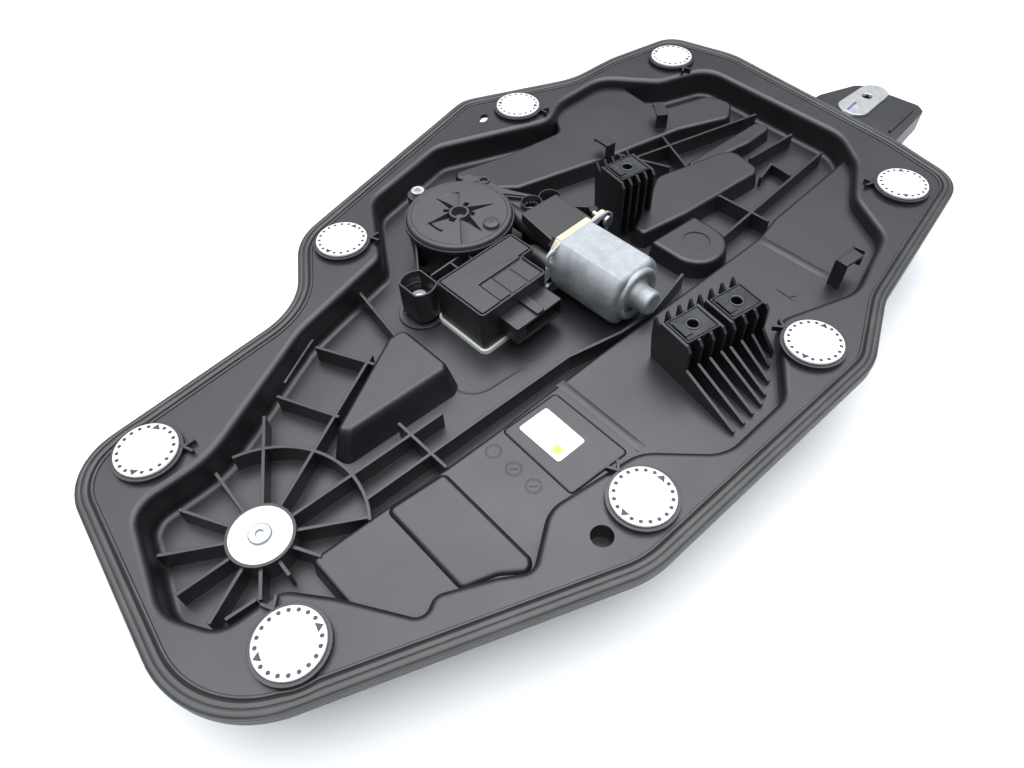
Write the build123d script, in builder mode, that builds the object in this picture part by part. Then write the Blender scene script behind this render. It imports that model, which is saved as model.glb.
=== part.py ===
from build123d import *
from math import cos, pi, radians, sin
import os

# Window regulator: a door carrier panel with the lift motor, guide rail, cable and glass carrier.
# Millimetres. Origin: centre of the round locating hole at the underside of the panel's flange.
# +Z points to the dry side with the motor, +X along the guide rail from the hub to the upper end.

# Carrier panel levels and walls
wall = 2.5
flange_thick = 3.0
floor_top = -18.0
shelf_top = -7.0
plateau_top = -5.0
leaf_top = -8.0
wedge_top = 0.0
rib_top = -6.0
rib_thick = 1.8
head_rib_high = 1.6
edge_round = 4.0
floor_round = 4.0
form_round = 2.5
form_draft = 8.0
floor_under = floor_top - wall
clear_fit = 0.3
run_fit = 0.05

# Outer edge of the rubber seal: corner x, corner y, rounding radius
seal_edge = [
    (-189.5, 54.6, 60), (3, -29.5, 60), (185, -37, 40), (235, -16, 60), (374, 5, 28), (390, 63, 120),
    (413, 219, 60), (400.5, 277.5, 22), (337, 290.5, 80), (291, 292, 60), (207, 333, 25),
    (19, 285.5, 45), (-16.5, 231.5, 50), (-169.5, 220.2, 36),
]
# Upper edge of the tray's wall
tray_edge = [
    (-152, 172.5, 14), (-110, 172, 60), (-25, 214, 60), (48, 232, 14), (81, 283, 20), (153, 298.5, 18),
    (237, 262, 22), (261, 275, 30), (309, 275, 22), (337, 237, 20), (379, 221, 16), (369, 95, 30),
    (347, 69, 30), (310, 49, 30), (287, 15, 20), (230, 1, 30), (178, 21, 14), (130, -14, 18),
    (80, -13, 25), (50, 19, 25), (-7, 29, 20), (-35, 11, 8), (-49, 21, 6), (-75, 35, 8),
    (-85, 29, 6), (-107, 65, 20), (-123, 86, 14), (-153, 88, 14), (-168, 114, 22),
]
# Raised areas inside the tray
shelf_edge = [
    (-104, 10, 1), (-104, 93, 3), (-63, 90, 3), (-27, 86.5, 3), (9.5, 84.4, 3), (92, 82, 3), (195, 77, 3),
    (242, 75, 3), (267, 79, 3), (390, 81, 1), (390, -30, 1), (20, -30, 1),
]
plateau_edge = [
    (142, 276, 5), (154, 241, 8), (167.5, 228, 8), (245, 205, 30), (305, 191, 30), (345, 173, 8),
    (363, 184, 9), (359, 204, 12), (320, 217, 9), (316, 232, 9), (326, 290, 5), (262, 290, 5),
    (239, 255, 10), (193, 262, 12),
]
pillow_edge = [
    (190, 131.5, 3.5), (229, 123.8, 40), (303, 116.3, 8), (311, 147, 10), (246, 165, 12), (191.5, 140, 3.5),
]
leaf_edge = [(274, 162, 3), (356, 156.5, 5), (362, 143.8, 5), (331, 143.8, 20), (281, 153, 4)]
wedge_edge = [(-46, 137, 6), (12, 136, 6), (18, 168, 6), (9, 171, 5)]
drop_edge = [(187.5, 122.5, 2), (187, 81.5, 19), (226.5, 81.5, 19), (228, 118.5, 2)]
drop_dimple = (208.5, 101.8)
dimple_radius = 9.0
dimple_deep = 0.8

# Seal section
seal_lip = 3.5
seal_band = 9.0
seal_grip = 7.0
seal_top = 4.3
seal_bottom = -6.0
seal_groove = 0.7

# Collars and caps at the eight fixing points
fixing_points = [
    (-131.5, 196.5), (-134.0, 59.5), (37.5, 259.5), (228.5, 291.0),
    (369.0, 251.5), (339.0, 30.5), (172.0, -5.0), (28.0, -1.0),
]
cap_radius = 16.5
cap_top = 8.0
cap_thick = 1.8
collar_radius = 18.5
collar_bore = 15.6
cap_spigot = 2.0
fixing_bore = 3.5
locating_bore = 5.75
locating_depth = 12.0
arrow_turns = [-36, 80, -36, -60, -110, 125, 93, 80]
arrow_spread = 35.0
arrow_long = 6.5
arrow_top = 6.5
arrow_thick = 1.5
slot_place = (202.0, 302.0)
slot_long = 11.0
slot_radius = 3.25
slot_turn = 22.0

# Hub of the lower pulley
hub_place = (-114.5, 120.0)
hub_radius = 17.5
hub_rim = 1.5
washer_top = -4.0
washer_thick = 2.0
hub_post_radius = 8.0
stud_radius = 3.0
hub_screw_head = 5.8
hub_screw_high = 1.5
hub_screw_shank = 2.0
hub_screw_length = 10.0
spoke_turn = -3.0
spoke_reach = [112, 124, 75, 49, 48, 50, 45, 46, 33, 27, 33, 53]
arc_rib_radius = 53.0

# Straight ribs of the tray: start x, start y, end x, end y
straight_ribs = [
    (-65, 100.3, 76, 93), (76, 93, 112, 84), (112, 84, 138, 81.5), (138, 81.5, 178, 89),
    (-23.9, 126, -23.9, 86), (-60.9, 189.8, -44.5, 152.8), (-23.9, 205.2, -7.4, 169.2),
    (22.4, 223.7, 14.2, 172), (219.7, 92.1, 353.9, 96.9), (259.5, 79.6, 259.5, 120.8),
    (311, 130.4, 359, 125.6), (254, 192, 363.5, 161), (291.6, 199.4, 270, 156), (248, 205, 262, 166),
    (-133.6, 93.9, -149.1, 95.6),
]

# Cable clips: foot x, foot y, heading, foot level, top level, width, arm length
cable_clips = [
    (295.2, 201.4, 50, plateau_top, 6.5, 8.5, 18), (240, 204.5, 85, plateau_top, 6, 8, 14),
    (233.4, 16.4, -8, shelf_top, 13, 8, 16),
]
clip_wall = 1.8
corner_clip = [(302, 114), (322, 118), (319, 100)]
corner_clip_top = -10.0

# Label
label_place = (30.0, 63.0)
label_long = 21.5
label_wide = 30.5
label_thick = 0.3
label_turn = -1.5

# Glass lift: guide rail along X, glass carrier, pulleys and drum under the panel
rail_y = hub_place[1]
rail_width = 24.0
rail_sheet = 1.5
rail_depth = 10.0
rail_lip = 6.0
rail_flange_start = -88.0
rail_flange_end = 398.0
upper_pulley_x = 425.0
pulley_hub_radius = 7.0
pulley_holes = 5
pulley_hole = 2.0
groove_half = 1.8
pin_head_radius = 6.5
pin_head_thick = 1.8
pulley_hub_under = -34.2
cable_radius = 0.75
pulley_pitch = 17.0
pulley_rim = 19.0
pulley_thick = 6.0
pulley_pin_radius = 4.0
drum_place = (103.0, 217.0)
drum_pitch = 17.0
drum_rim = 19.5
drum_height = 14.0
drum_top = -23.5
drum_wall = 2.5
drum_cup_radius = 24.0
drum_cup_under = -42.0
drum_ear_radius = 5.0
drum_root = 16.0
drum_exits = [215.0, -25.0]
exit_mouth = 40.0
turn_count = 5
turn_step = 1.6
cable_start = 9.0
sheath_radius = 2.5
sheath_bore = 1.05
sheath_bend = 55.0
sheath_start = 16.0
fitting_length = 16.0
coupling_radius = 9.0
coupling_flange = 10.5
damper_radius = 18.0
damper_thick = 4.0
axle_radius = 3.0
axle_top = 11.0
drum_screw_radius = 2.0
drum_screw_ring = 31.0
drum_screws = [
    (drum_place[0] + drum_screw_ring * cos(radians(a)), drum_place[1] + drum_screw_ring * sin(radians(a)))
    for a in (200, 270, 340)
]
drive_opening = 12.0
cable_level = -30.0
cable_stops = [-66.0, 379.0]
stop_length = 10.0
stop_width = 9.2
stop_under = -31.0
fitting_radius = 3.0
lift_travel = 372.0

# Glass carrier
carrier_half_length = 48.0
carrier_width = 62.0
carrier_rest_x = -36.0
carrier_skin = 4.0
carrier_top = -33.4
carrier_web_back = -10.0
carrier_round = 8.0
arm_wide = 9.0
arm_top = -25.0
clamp_screw_x = 4.0
clamp_long = 46.0
clamp_wide = 20.0
slot_gap = 6.0
slot_depth = 30.0
shoe_length = 18.0
shoe_spread = 34.0
nipple_radius = 2.2
nipple_length = 5.0
cable_hole = 1.05
arm_half = 14.0
clamp_thick = 2.0
clamp_screw_radius = 3.0

# Rail head and bracket at the upper end
head_under = -36.0
bracket_thick = 2.0
bracket_width = 24.0
bracket_end_x = 491.0
bracket_start_x = 440.0
bracket_hole_x = 468.0
bracket_bore = 4.0
bracket_round = 10.0
rail_rivet_places = [(400.0, 120.0), (449.0, 120.0)]
rivet_radius = 2.2
rivet_head = 1.2
head_skin = 2.8
head_mouth = 60.0
head_edge = [
    (396, 73.5, 4), (432, 72.5, 8), (481, 76.5, 5), (487, 84, 6), (485, 135, 14), (447, 150.5, 14),
    (396, 156, 4),
]

head_rib = ((435, 81.5), (475, 83.5))

# Motor and gearbox
gear_radius = 33.5
gear_bottom = -15.0
gear_wall = 3.0
cover_radius = 34.5
cover_seat = 9.0
cover_rim = 12.0
cover_dome = 15.6
cover_bore = 5.0
wheel_teeth = 60
wheel_tip = 26.4
wheel_root = 24.6
wheel_thick = 9.0
motor_x = 135.0
motor_z = 3.5
worm_radius = 5.2
can_radius = 23.0
can_height = 37.0
can_sheet = 1.6
can_back_y = 93.0
can_front_y = 144.0
can_ear_thick = 1.5
can_shoulder = 5.0
boss_round = 2.5
magnet_y = 98.0
magnet_length = 36.0
magnet_inner = 17.5
magnet_high = 30.0
core_radius = 16.5
core_y = 101.0
core_length = 30.0
core_slots = 8
core_slot = (8.2, 2.4)
winding_radius = 14.0
winding_length = 3.5
commutator_radius = 6.0
commutator_y = 137.5
commutator_length = 10.0
brush_wide = 4.0
brush_centre = 9.6
brush_inset = 1.2
neck_flange = 6.0
neck_edge = [(124, 150, 3), (158, 150, 4), (160, 184, 6), (128, 186, 3)]
bridge_deep = 12.0
bridge_pockets = [(62.0, 185.0), (76.0, 185.0)]
pocket_long = 9.0
pocket_deep = 14.0
ear_web = 9.0
ear_web_drop = 4.0
cover_step = 2.0
cover_slots = 8
cover_slot_place = 15.0
cover_slot_long = 14.0
cover_slot_wide = 2.6
cover_slot_deep = 2.0
cover_stud = (118.0, 198.5)
cover_stud_radius = 5.0
coupling_splines = 8
spline_deep = 2.4
spline_wide = 2.0
motor_screw_head = 4.5
motor_screw_high = 3.2
can_screw_head = 4.0
can_screw_high = 2.4
brush_long = 7.0
bush_radius = 5.4
bush_length = 6.0
worm_y = 203.0
worm_length = 28.0
boss_radius = 8.0
boss_end_y = 79.5
brush_thick = 4.0
shaft_radius = 2.5
shaft_top_y = 238.0
tunnel_radius = 8.5
ear_screws = [
    (103.6, 261.7, 7.5, 6.0, 4.6, 6.0), (147.1, 194.9, 7.5, 10.0, 5.2, 0.0),
    (45.5, 191.6, 11.0, 8.0, 8.6, -9.0),
]
can_ears = [(27.5, 12.0), (-26.0, -10.0)]
can_ear_radius = 5.0
can_screw_radius = 2.0
post_radius = 6.5
screw_radius = 2.5

# Control module on the gearbox
module_x = (50.0, 113.0)
module_y = (137.0, 179.0)
module_top = 12.0
lid_top = 14.0
module_bottom = -15.0
module_wall = 2.0
module_edge = [(50, 137, 3), (103, 137, 3), (103, 158, 2), (113, 158, 2), (113, 179, 3), (50, 179, 3)]
board_under = 4.0
board_thick = 1.6
board_posts = [(56.0, 143.0), (56.0, 173.0), (97.0, 143.0), (107.0, 173.0)]
board_post_radius = 2.5
board_parts = [(66, 152, 12, 12, 2.4), (86, 150, 9, 9, 1.6), (66, 168, 8, 6, 4.5), (88, 168, 14, 6, 3.0)]
lid_panel = (82.0, 146.0, 33.0, 12.0)
lid_block = (64.0, 168.0, 22.0, 14.0)
lid_recess = 1.0
gasket_out = 1.6
gasket_in = 2.4
plug_x = (68.0, 101.0)
plug_y = (122.0, 143.0)
plug_z = (-9.0, 4.0)
plug_wall = 1.8
plug_key = 2.0
plug_key_wide = 5.0
pin_window_long = 22.0
pin_window_high = 6.0
pin_reach = 2.0
pin_carrier = 5.0
pin_step = 3.0
pin_count = 6
pin_thick = 0.9
pin_length = 6.0

# Ribbed posts with clip nuts
post_turn = -11.0
post_blocks = [
    (201.5, 159.3, floor_top, 27.0, [3, 3, 3, 3, 3]),
    (120.5, 43.5, shelf_top, 24.0, [43, 42, 40, 38]),
    (151.5, 37.0, shelf_top, 24.0, [34, 28, 20, 14]),
]
post_core = 0.72
post_hole_depth = 14.0
pad_long = 27.0
pad_deep = 21.0
clip_bore = 3.0
clip_long = 20.0
clip_wide = 16.0
clip_thick = 0.8
clip_fold = 5.0
fin_thick = 1.8
fin_shoulder = 3.0
fin_knee = 14.0
fin_tooth = 5.5

os.makedirs("parts", exist_ok=True)


def closed_outline(corners):
    """A closed line through the corners, each rounded by its own radius."""
    points = [(x, y) for x, y, r in corners]
    FilletPolyline(*points, radius=[r for x, y, r in corners], close=True)


def save(built, name):
    """Label a finished piece and write its file."""
    built.part.label = name
    export_step(built.part, f"parts/{name}.step")


# Plain areas that several pieces share
with BuildSketch() as seal_area:
    with BuildLine():
        closed_outline(seal_edge)
    make_face()
with BuildSketch() as flange_area:
    add(seal_area.sketch)
    offset(amount=-seal_lip)
with BuildSketch() as tray_area:
    with BuildLine():
        closed_outline(tray_edge)
    make_face()
with BuildSketch() as tray_outside:
    add(tray_area.sketch)
    offset(amount=wall)


# Raised forms of the tray: drafted sides and rounded tops, cut to the tray
raised = [(shelf_edge, shelf_top), (plateau_edge, plateau_top), (pillow_edge, plateau_top),
          (leaf_edge, leaf_top), (wedge_edge, wedge_top), (drop_edge, plateau_top)]
forms = []
for corners, top in raised:
    with BuildPart() as form:
        with BuildSketch(Plane.XY.offset(top)):
            with BuildLine():
                closed_outline(corners)
            make_face()
        extrude(amount=floor_top - wall / 2 - top, taper=-form_draft)
        fillet(form.faces().sort_by(Axis.Z)[-1].edges(), radius=form_round)
        with BuildSketch(Plane.XY.offset(floor_top - wall / 2)):
            add(tray_outside.sketch)
        extrude(amount=wedge_top - floor_top + wall, mode=Mode.INTERSECT)
    forms.append(form.part)

# Ribs of the tray: spokes and arc about the hub, then the straight ones, cut to the tray
with BuildPart() as rib_set:
    with BuildSketch(Plane.XY.offset(floor_top - wall / 2)):
        with BuildLine():
            for index, reach in enumerate(spoke_reach):
                turn = radians(spoke_turn + 360 / len(spoke_reach) * index)
                tip = (hub_place[0] + reach * cos(turn), hub_place[1] + reach * sin(turn))
                Line(hub_place, tip)
            CenterArc(hub_place, arc_rib_radius, -35, 110)
            for x0, y0, x1, y1 in straight_ribs:
                Line((x0, y0), (x1, y1))
        trace(line_width=rib_thick)
    extrude(amount=rib_top - floor_top + wall / 2)
    with BuildSketch(Plane.XY.offset(floor_under)):
        add(tray_outside.sketch)
    extrude(amount=rib_top - floor_under + wall, mode=Mode.INTERSECT)

# Carrier panel: one thin-walled moulding, open below its raised areas
with BuildPart() as carrier_panel:
    with BuildSketch():
        add(flange_area.sketch)
    extrude(amount=flange_thick)
    with BuildSketch(Plane.XY.offset(floor_under)):
        add(tray_outside.sketch)
    extrude(amount=-floor_under)
    with BuildSketch(Plane.XY.offset(floor_top)):
        add(tray_area.sketch)
    extrude(amount=flange_thick - floor_top, mode=Mode.SUBTRACT)
    upper_edges = carrier_panel.edges().group_by(Axis.Z)[-1]
    tray_rim = [e for e in upper_edges if e.distance_to(tray_area.sketch) < flange_thick + 0.01]
    fillet(tray_rim, radius=edge_round)
    floor_face = carrier_panel.faces().filter_by(Plane.XY).filter_by_position(
        Axis.Z, floor_top - 0.01, floor_top + 0.01)[0]
    fillet(floor_face.edges(), radius=floor_round)
    for form in forms:
        add(form)
    for corners, top in raised:
        with BuildSketch(Plane.XY.offset(floor_under)):
            with BuildLine():
                closed_outline(corners)
            make_face()
            add(tray_area.sketch, mode=Mode.INTERSECT)
            offset(amount=-wall)
        extrude(amount=top - wall - floor_under, mode=Mode.SUBTRACT)
    with BuildSketch(Plane.XY.offset(plateau_top)):
        with Locations(drop_dimple):
            Circle(dimple_radius)
    extrude(amount=-dimple_deep, mode=Mode.SUBTRACT)
    add(rib_set.part)
    # Hub: raised rim round the washer, post for the pulley pin, hollow below
    with BuildSketch(Plane.XY.offset(floor_top - wall / 2)):
        with Locations(hub_place):
            Circle(hub_radius)
    extrude(amount=washer_top - floor_top + wall / 2)
    with BuildSketch(Plane.XY.offset(washer_top - washer_thick)):
        with Locations(hub_place):
            Circle(hub_radius - hub_rim)
    extrude(amount=washer_thick, mode=Mode.SUBTRACT)
    with BuildSketch(Plane.XY.offset(floor_under)):
        with Locations(hub_place):
            Circle(hub_radius - wall)
            Circle(hub_post_radius, mode=Mode.SUBTRACT)
    extrude(amount=washer_top - washer_thick - wall - floor_under, mode=Mode.SUBTRACT)
    with BuildSketch(Plane.XY.offset(floor_under)):
        with Locations(hub_place):
            Circle(stud_radius + clear_fit / 3)
    extrude(amount=-floor_under, mode=Mode.SUBTRACT)
    # Collars at the fixing points, with their bores
    with BuildSketch(Plane.XY.offset(flange_thick)):
        with Locations(*fixing_points):
            Circle(collar_radius)
            Circle(collar_bore, mode=Mode.SUBTRACT)
    extrude(amount=cap_top - cap_thick - flange_thick)
    with BuildSketch(Plane.XY.offset(flange_thick)):
        with BuildLine():
            for (x, y), heading in zip(fixing_points, arrow_turns):
                root = radians(heading)
                tip = (x + collar_radius * cos(root), y + collar_radius * sin(root))
                for turn in (root - radians(arrow_spread), root + radians(arrow_spread)):
                    Line(tip, (tip[0] + arrow_long * cos(turn), tip[1] + arrow_long * sin(turn)))
        trace(line_width=arrow_thick)
    extrude(amount=arrow_top - flange_thick)
    # Blind socket under the round locating hole
    with BuildSketch():
        Circle(locating_bore + wall)
    extrude(amount=flange_thick - locating_depth - wall)
    with BuildSketch(Plane.XY.offset(flange_thick)):
        Circle(locating_bore)
    extrude(amount=-locating_depth, mode=Mode.SUBTRACT)
    with BuildSketch():
        with Locations(*fixing_points):
            Circle(fixing_bore)
        with Locations(Location((slot_place[0], slot_place[1], 0), slot_turn)):
            SlotOverall(slot_long, slot_radius * 2)
    extrude(amount=flange_thick, mode=Mode.SUBTRACT)
    # Motor posts, their screw holes and the opening for the drive
    with BuildSketch(Plane.XY.offset(floor_top - wall / 2)):
        with Locations(*[(x, y) for x, y, *rest in ear_screws]):
            Circle(post_radius)
    extrude(amount=gear_bottom - floor_top + wall / 2)
    with BuildSketch(Plane.XY.offset(floor_under)):
        with Locations(*[(x, y) for x, y, *rest in ear_screws]):
            Circle(screw_radius)
        with Locations(drum_place):
            Circle(drive_opening)
        with Locations(*drum_screws):
            Circle(drum_screw_radius)
    extrude(amount=gear_bottom - floor_under, mode=Mode.SUBTRACT)
    # Cable stops: forks under the floor that hold the sheath ends
    for x in cable_stops:
        with BuildSketch(Plane.XY.offset(floor_under)):
            with Locations((x, rail_y + pulley_pitch)):
                Rectangle(stop_length, stop_width)
        extrude(amount=stop_under - floor_under)
        with BuildSketch(Plane.XY.offset(stop_under)):
            with Locations((x, rail_y + pulley_pitch)):
                Rectangle(stop_length, fitting_radius * 2)
        extrude(amount=cable_level + fitting_radius - stop_under, mode=Mode.SUBTRACT)
    # Ribbed posts for the trim: a block and fins under each pad
    for x, y, foot, top, reaches in post_blocks:
        with BuildSketch(Plane(origin=(x, y, foot - wall / 2), z_dir=(0, 0, 1)).rotated((0, 0, post_turn))):
            Rectangle(pad_long, pad_deep * post_core)
        extrude(amount=top - foot + wall / 2)
        for index, reach in enumerate(reaches):
            along = (index / (len(reaches) - 1) - 0.5) * (pad_long - fin_thick)
            fin_plane = Plane(origin=(x, y, 0), z_dir=(0, 0, 1)).rotated((0, 0, post_turn))
            side = Plane(origin=fin_plane.from_local_coords((along - fin_thick / 2, 0, 0)),
                         x_dir=fin_plane.y_dir, z_dir=fin_plane.x_dir)
            with BuildSketch(side):
                with BuildLine():
                    Polyline(
                        (pad_deep / 2 + fin_shoulder, foot - wall / 2), (pad_deep / 2 + fin_tooth, top - fin_knee),
                        (pad_deep / 2 + fin_tooth, top), (pad_deep / 2, top - 2 * fin_shoulder),
                        (pad_deep / 2, top), (-pad_deep / 2, top), (-pad_deep / 2 - fin_shoulder, top - fin_shoulder),
                        (-pad_deep / 2 - fin_shoulder, foot + fin_knee), (-pad_deep / 2 - reach, foot + fin_shoulder),
                        (-pad_deep / 2 - reach, foot - wall / 2), close=True,
                    )
                make_face()
            extrude(amount=fin_thick)
        with BuildSketch(Plane(origin=(x, y, top), z_dir=(0, 0, 1)).rotated((0, 0, post_turn))):
            Circle(clip_bore + clear_fit)
        extrude(amount=-post_hole_depth, mode=Mode.SUBTRACT)
    # Cable clips: upright legs, each with an arm at its top
    for x, y, heading, foot, top, wide, arm in cable_clips:
        standing = Plane(origin=(x, y, 0), x_dir=(cos(radians(heading)), sin(radians(heading)), 0),
                         z_dir=(sin(radians(heading)), -cos(radians(heading)), 0))
        with BuildSketch(standing):
            with BuildLine():
                Polyline((0, foot - wall / 2), (0, top), (arm, top), (arm, top - 2 * clip_wall),
                         (arm - clip_wall, top - clip_wall), (clip_wall, top - clip_wall),
                         (clip_wall, foot - wall / 2), close=True)
            make_face()
        extrude(amount=wide / 2, both=True)
    with BuildSketch(Plane.XY.offset(floor_top - wall / 2)):
        with BuildLine():
            Polyline(*corner_clip)
        trace(line_width=clip_wall)
    extrude(amount=corner_clip_top - floor_top + wall / 2)
save(carrier_panel, "carrier_panel")

# Perimeter seal: a rubber band that grips the panel's edge
with BuildPart() as perimeter_seal:
    with BuildSketch(Plane.XY.offset(seal_bottom)):
        add(seal_area.sketch)
    extrude(amount=seal_top - seal_bottom)
    with BuildSketch(Plane.XY.offset(flange_thick)):
        add(seal_area.sketch)
        offset(amount=-seal_band)
    extrude(amount=seal_top - flange_thick, mode=Mode.SUBTRACT)
    with BuildSketch():
        add(flange_area.sketch)
    extrude(amount=flange_thick, mode=Mode.SUBTRACT)
    with BuildSketch(Plane.XY.offset(flange_thick)):
        with Locations(*fixing_points):
            Circle(collar_radius + clear_fit)
    extrude(amount=seal_top - flange_thick, mode=Mode.SUBTRACT)
    with BuildSketch(Plane.XY.offset(seal_bottom)):
        add(seal_area.sketch)
        offset(amount=-seal_grip)
    extrude(amount=-seal_bottom, mode=Mode.SUBTRACT)
    with BuildSketch(Plane.XY.offset(seal_top - seal_groove)) as groove:
        add(seal_area.sketch)
        offset(amount=-seal_lip)
    with BuildSketch(Plane.XY.offset(seal_top - seal_groove)) as groove_inner:
        add(seal_area.sketch)
        offset(amount=-seal_lip - 2 * seal_groove)
    ring = extrude(groove.sketch, amount=seal_groove, mode=Mode.PRIVATE)
    ring_inner = extrude(groove_inner.sketch, amount=seal_groove, mode=Mode.PRIVATE)
    add(ring - ring_inner, mode=Mode.SUBTRACT)
save(perimeter_seal, "perimeter_seal")

# Fixing caps: white discs on the collars, each with a spigot in its collar
with BuildPart() as fixing_caps:
    with BuildSketch(Plane.XY.offset(cap_top)):
        with Locations(*fixing_points):
            Circle(cap_radius)
    extrude(amount=-cap_thick)
    with BuildSketch(Plane.XY.offset(cap_top - cap_thick)):
        with Locations(*fixing_points):
            Circle(collar_bore)
            Circle(collar_bore - cap_thick, mode=Mode.SUBTRACT)
    extrude(amount=-cap_spigot)
save(fixing_caps, "fixing_caps")

# Hub washer and its screw
with BuildPart() as hub_washer:
    with BuildSketch(Plane.XY.offset(washer_top)):
        with Locations(hub_place):
            Circle(hub_radius - hub_rim - 0.1)
            Circle(stud_radius + clear_fit, mode=Mode.SUBTRACT)
    extrude(amount=-washer_thick)
save(hub_washer, "hub_washer")

with BuildPart() as hub_screw:
    with BuildSketch(Plane.XY.offset(washer_top)):
        with Locations(hub_place):
            Circle(hub_screw_head)
    extrude(amount=hub_screw_high)
    fillet(hub_screw.faces().sort_by(Axis.Z)[-1].edges(), radius=hub_screw_high * 0.4)
    with BuildSketch(Plane.XY.offset(washer_top + hub_screw_high)):
        with Locations(hub_place):
            RegularPolygon(stud_radius * 0.75, 6)
    extrude(amount=-hub_screw_high * 0.6, mode=Mode.SUBTRACT)
    with BuildSketch(Plane.XY.offset(washer_top)):
        with Locations(hub_place):
            Circle(hub_screw_shank)
    extrude(amount=-hub_screw_length)
save(hub_screw, "hub_screw")

# Clip nuts: spring steel clips on the posts' pads
with BuildPart() as clip_nuts:
    for x, y, foot, top, reaches in post_blocks:
        pad = Plane(origin=(x, y, top), z_dir=(0, 0, 1)).rotated((0, 0, post_turn))
        with BuildSketch(pad):
            Rectangle(clip_long, clip_wide)
            Circle(clip_bore, mode=Mode.SUBTRACT)
        extrude(amount=clip_thick)
        with BuildSketch(pad):
            with Locations((-clip_long / 2 + clip_fold / 2, 0)):
                Rectangle(clip_fold, clip_wide * 0.7)
        extrude(amount=2 * clip_thick)
save(clip_nuts, "clip_nuts")

# Label on the shelf, left blank
with BuildPart() as label:
    with BuildSketch(Plane(origin=(*label_place, shelf_top), z_dir=(0, 0, 1)).rotated((0, 0, label_turn))):
        RectangleRounded(label_long, label_wide, 1.5)
    extrude(amount=label_thick)
save(label, "label")


def across(y):
    """A plane square to the motor's shaft, its x along X and its y along Z."""
    return Plane(origin=(motor_x, y, motor_z), x_dir=(1, 0, 0), z_dir=(0, -1, 0))


def can_profile(inset):
    """The can's section: a round with two flats."""
    Circle(can_radius - inset)
    Rectangle(2 * can_radius, can_height - 2 * inset, mode=Mode.INTERSECT)


# Motor can: drawn steel, open at the gearbox end
with BuildPart() as motor_can:
    with BuildSketch(across(can_back_y)):
        can_profile(0)
    extrude(amount=can_back_y - can_front_y)
    fillet(motor_can.faces().sort_by(Axis.Y)[0].edges(), radius=can_shoulder)
    with BuildSketch(across(boss_end_y)):
        Circle(boss_radius)
    extrude(amount=boss_end_y - can_back_y - can_sheet)
    fillet(motor_can.faces().sort_by(Axis.Y)[0].edges(), radius=boss_round)
    with BuildSketch(across(can_front_y)):
        with Locations(*can_ears):
            Circle(can_ear_radius)
        with BuildLine():
            for ear in can_ears:
                Line((0, 0), ear)
        trace(line_width=2 * can_ear_radius)
    extrude(amount=can_ear_thick)
    with BuildSketch(across(can_front_y)):
        can_profile(can_sheet)
    extrude(amount=can_front_y - can_back_y - can_sheet, mode=Mode.SUBTRACT)
    with BuildSketch(across(can_back_y + 2 * can_sheet)):
        Circle(boss_radius - can_sheet)
    extrude(amount=can_back_y + 2 * can_sheet - boss_end_y - can_sheet, mode=Mode.SUBTRACT)
    with BuildSketch(across(can_front_y)):
        with Locations(*can_ears):
            Circle(can_screw_radius)
    extrude(amount=can_ear_thick, mode=Mode.SUBTRACT)
save(motor_can, "motor_can")

# Magnets, bonded in the can
with BuildPart() as magnets:
    with BuildSketch(across(magnet_y)):
        Circle(can_radius - can_sheet)
        Circle(magnet_inner, mode=Mode.SUBTRACT)
        Rectangle(2 * can_radius, magnet_high, mode=Mode.INTERSECT)
    extrude(amount=-magnet_length)
save(magnets, "magnets")

# Armature: shaft with worm, core, windings and commutator
with BuildPart() as armature_shaft:
    with BuildSketch(across(boss_end_y + 2 * can_sheet)):
        Circle(shaft_radius)
    extrude(amount=boss_end_y + 2 * can_sheet - shaft_top_y)
    with BuildSketch(across(worm_y)):
        Circle(worm_radius)
    extrude(amount=-worm_length)
    chamfer(armature_shaft.edges().filter_by(GeomType.CIRCLE).sort_by(SortBy.RADIUS)[-2:], length=0.8)
save(armature_shaft, "armature_shaft")

with BuildPart() as armature_core:
    with BuildSketch(across(core_y)):
        Circle(core_radius)
        with PolarLocations(core_radius - 4, core_slots):
            Rectangle(*core_slot, mode=Mode.SUBTRACT)
        Circle(shaft_radius, mode=Mode.SUBTRACT)
    extrude(amount=-core_length)
save(armature_core, "armature_core")

with BuildPart() as armature_windings:
    for y in (core_y - winding_length, core_y + core_length):
        with BuildSketch(across(y)):
            Circle(winding_radius)
            Circle(shaft_radius, mode=Mode.SUBTRACT)
        extrude(amount=-winding_length)
save(armature_windings, "armature_windings")

with BuildPart() as commutator:
    with BuildSketch(across(commutator_y)):
        Circle(commutator_radius)
        Circle(shaft_radius, mode=Mode.SUBTRACT)
    extrude(amount=-commutator_length)
save(commutator, "commutator")

# Shaft bushes: in the can's boss, and in the gearbox at both ends of the worm
bush_places = [boss_end_y + can_sheet + 1, worm_y - bush_length - 2, shaft_top_y - bush_length]
with BuildPart() as shaft_bushes:
    for y in bush_places:
        with BuildSketch(across(y)):
            Circle(bush_radius)
            Circle(shaft_radius + run_fit, mode=Mode.SUBTRACT)
        extrude(amount=-bush_length)
save(shaft_bushes, "shaft_bushes")

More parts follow.
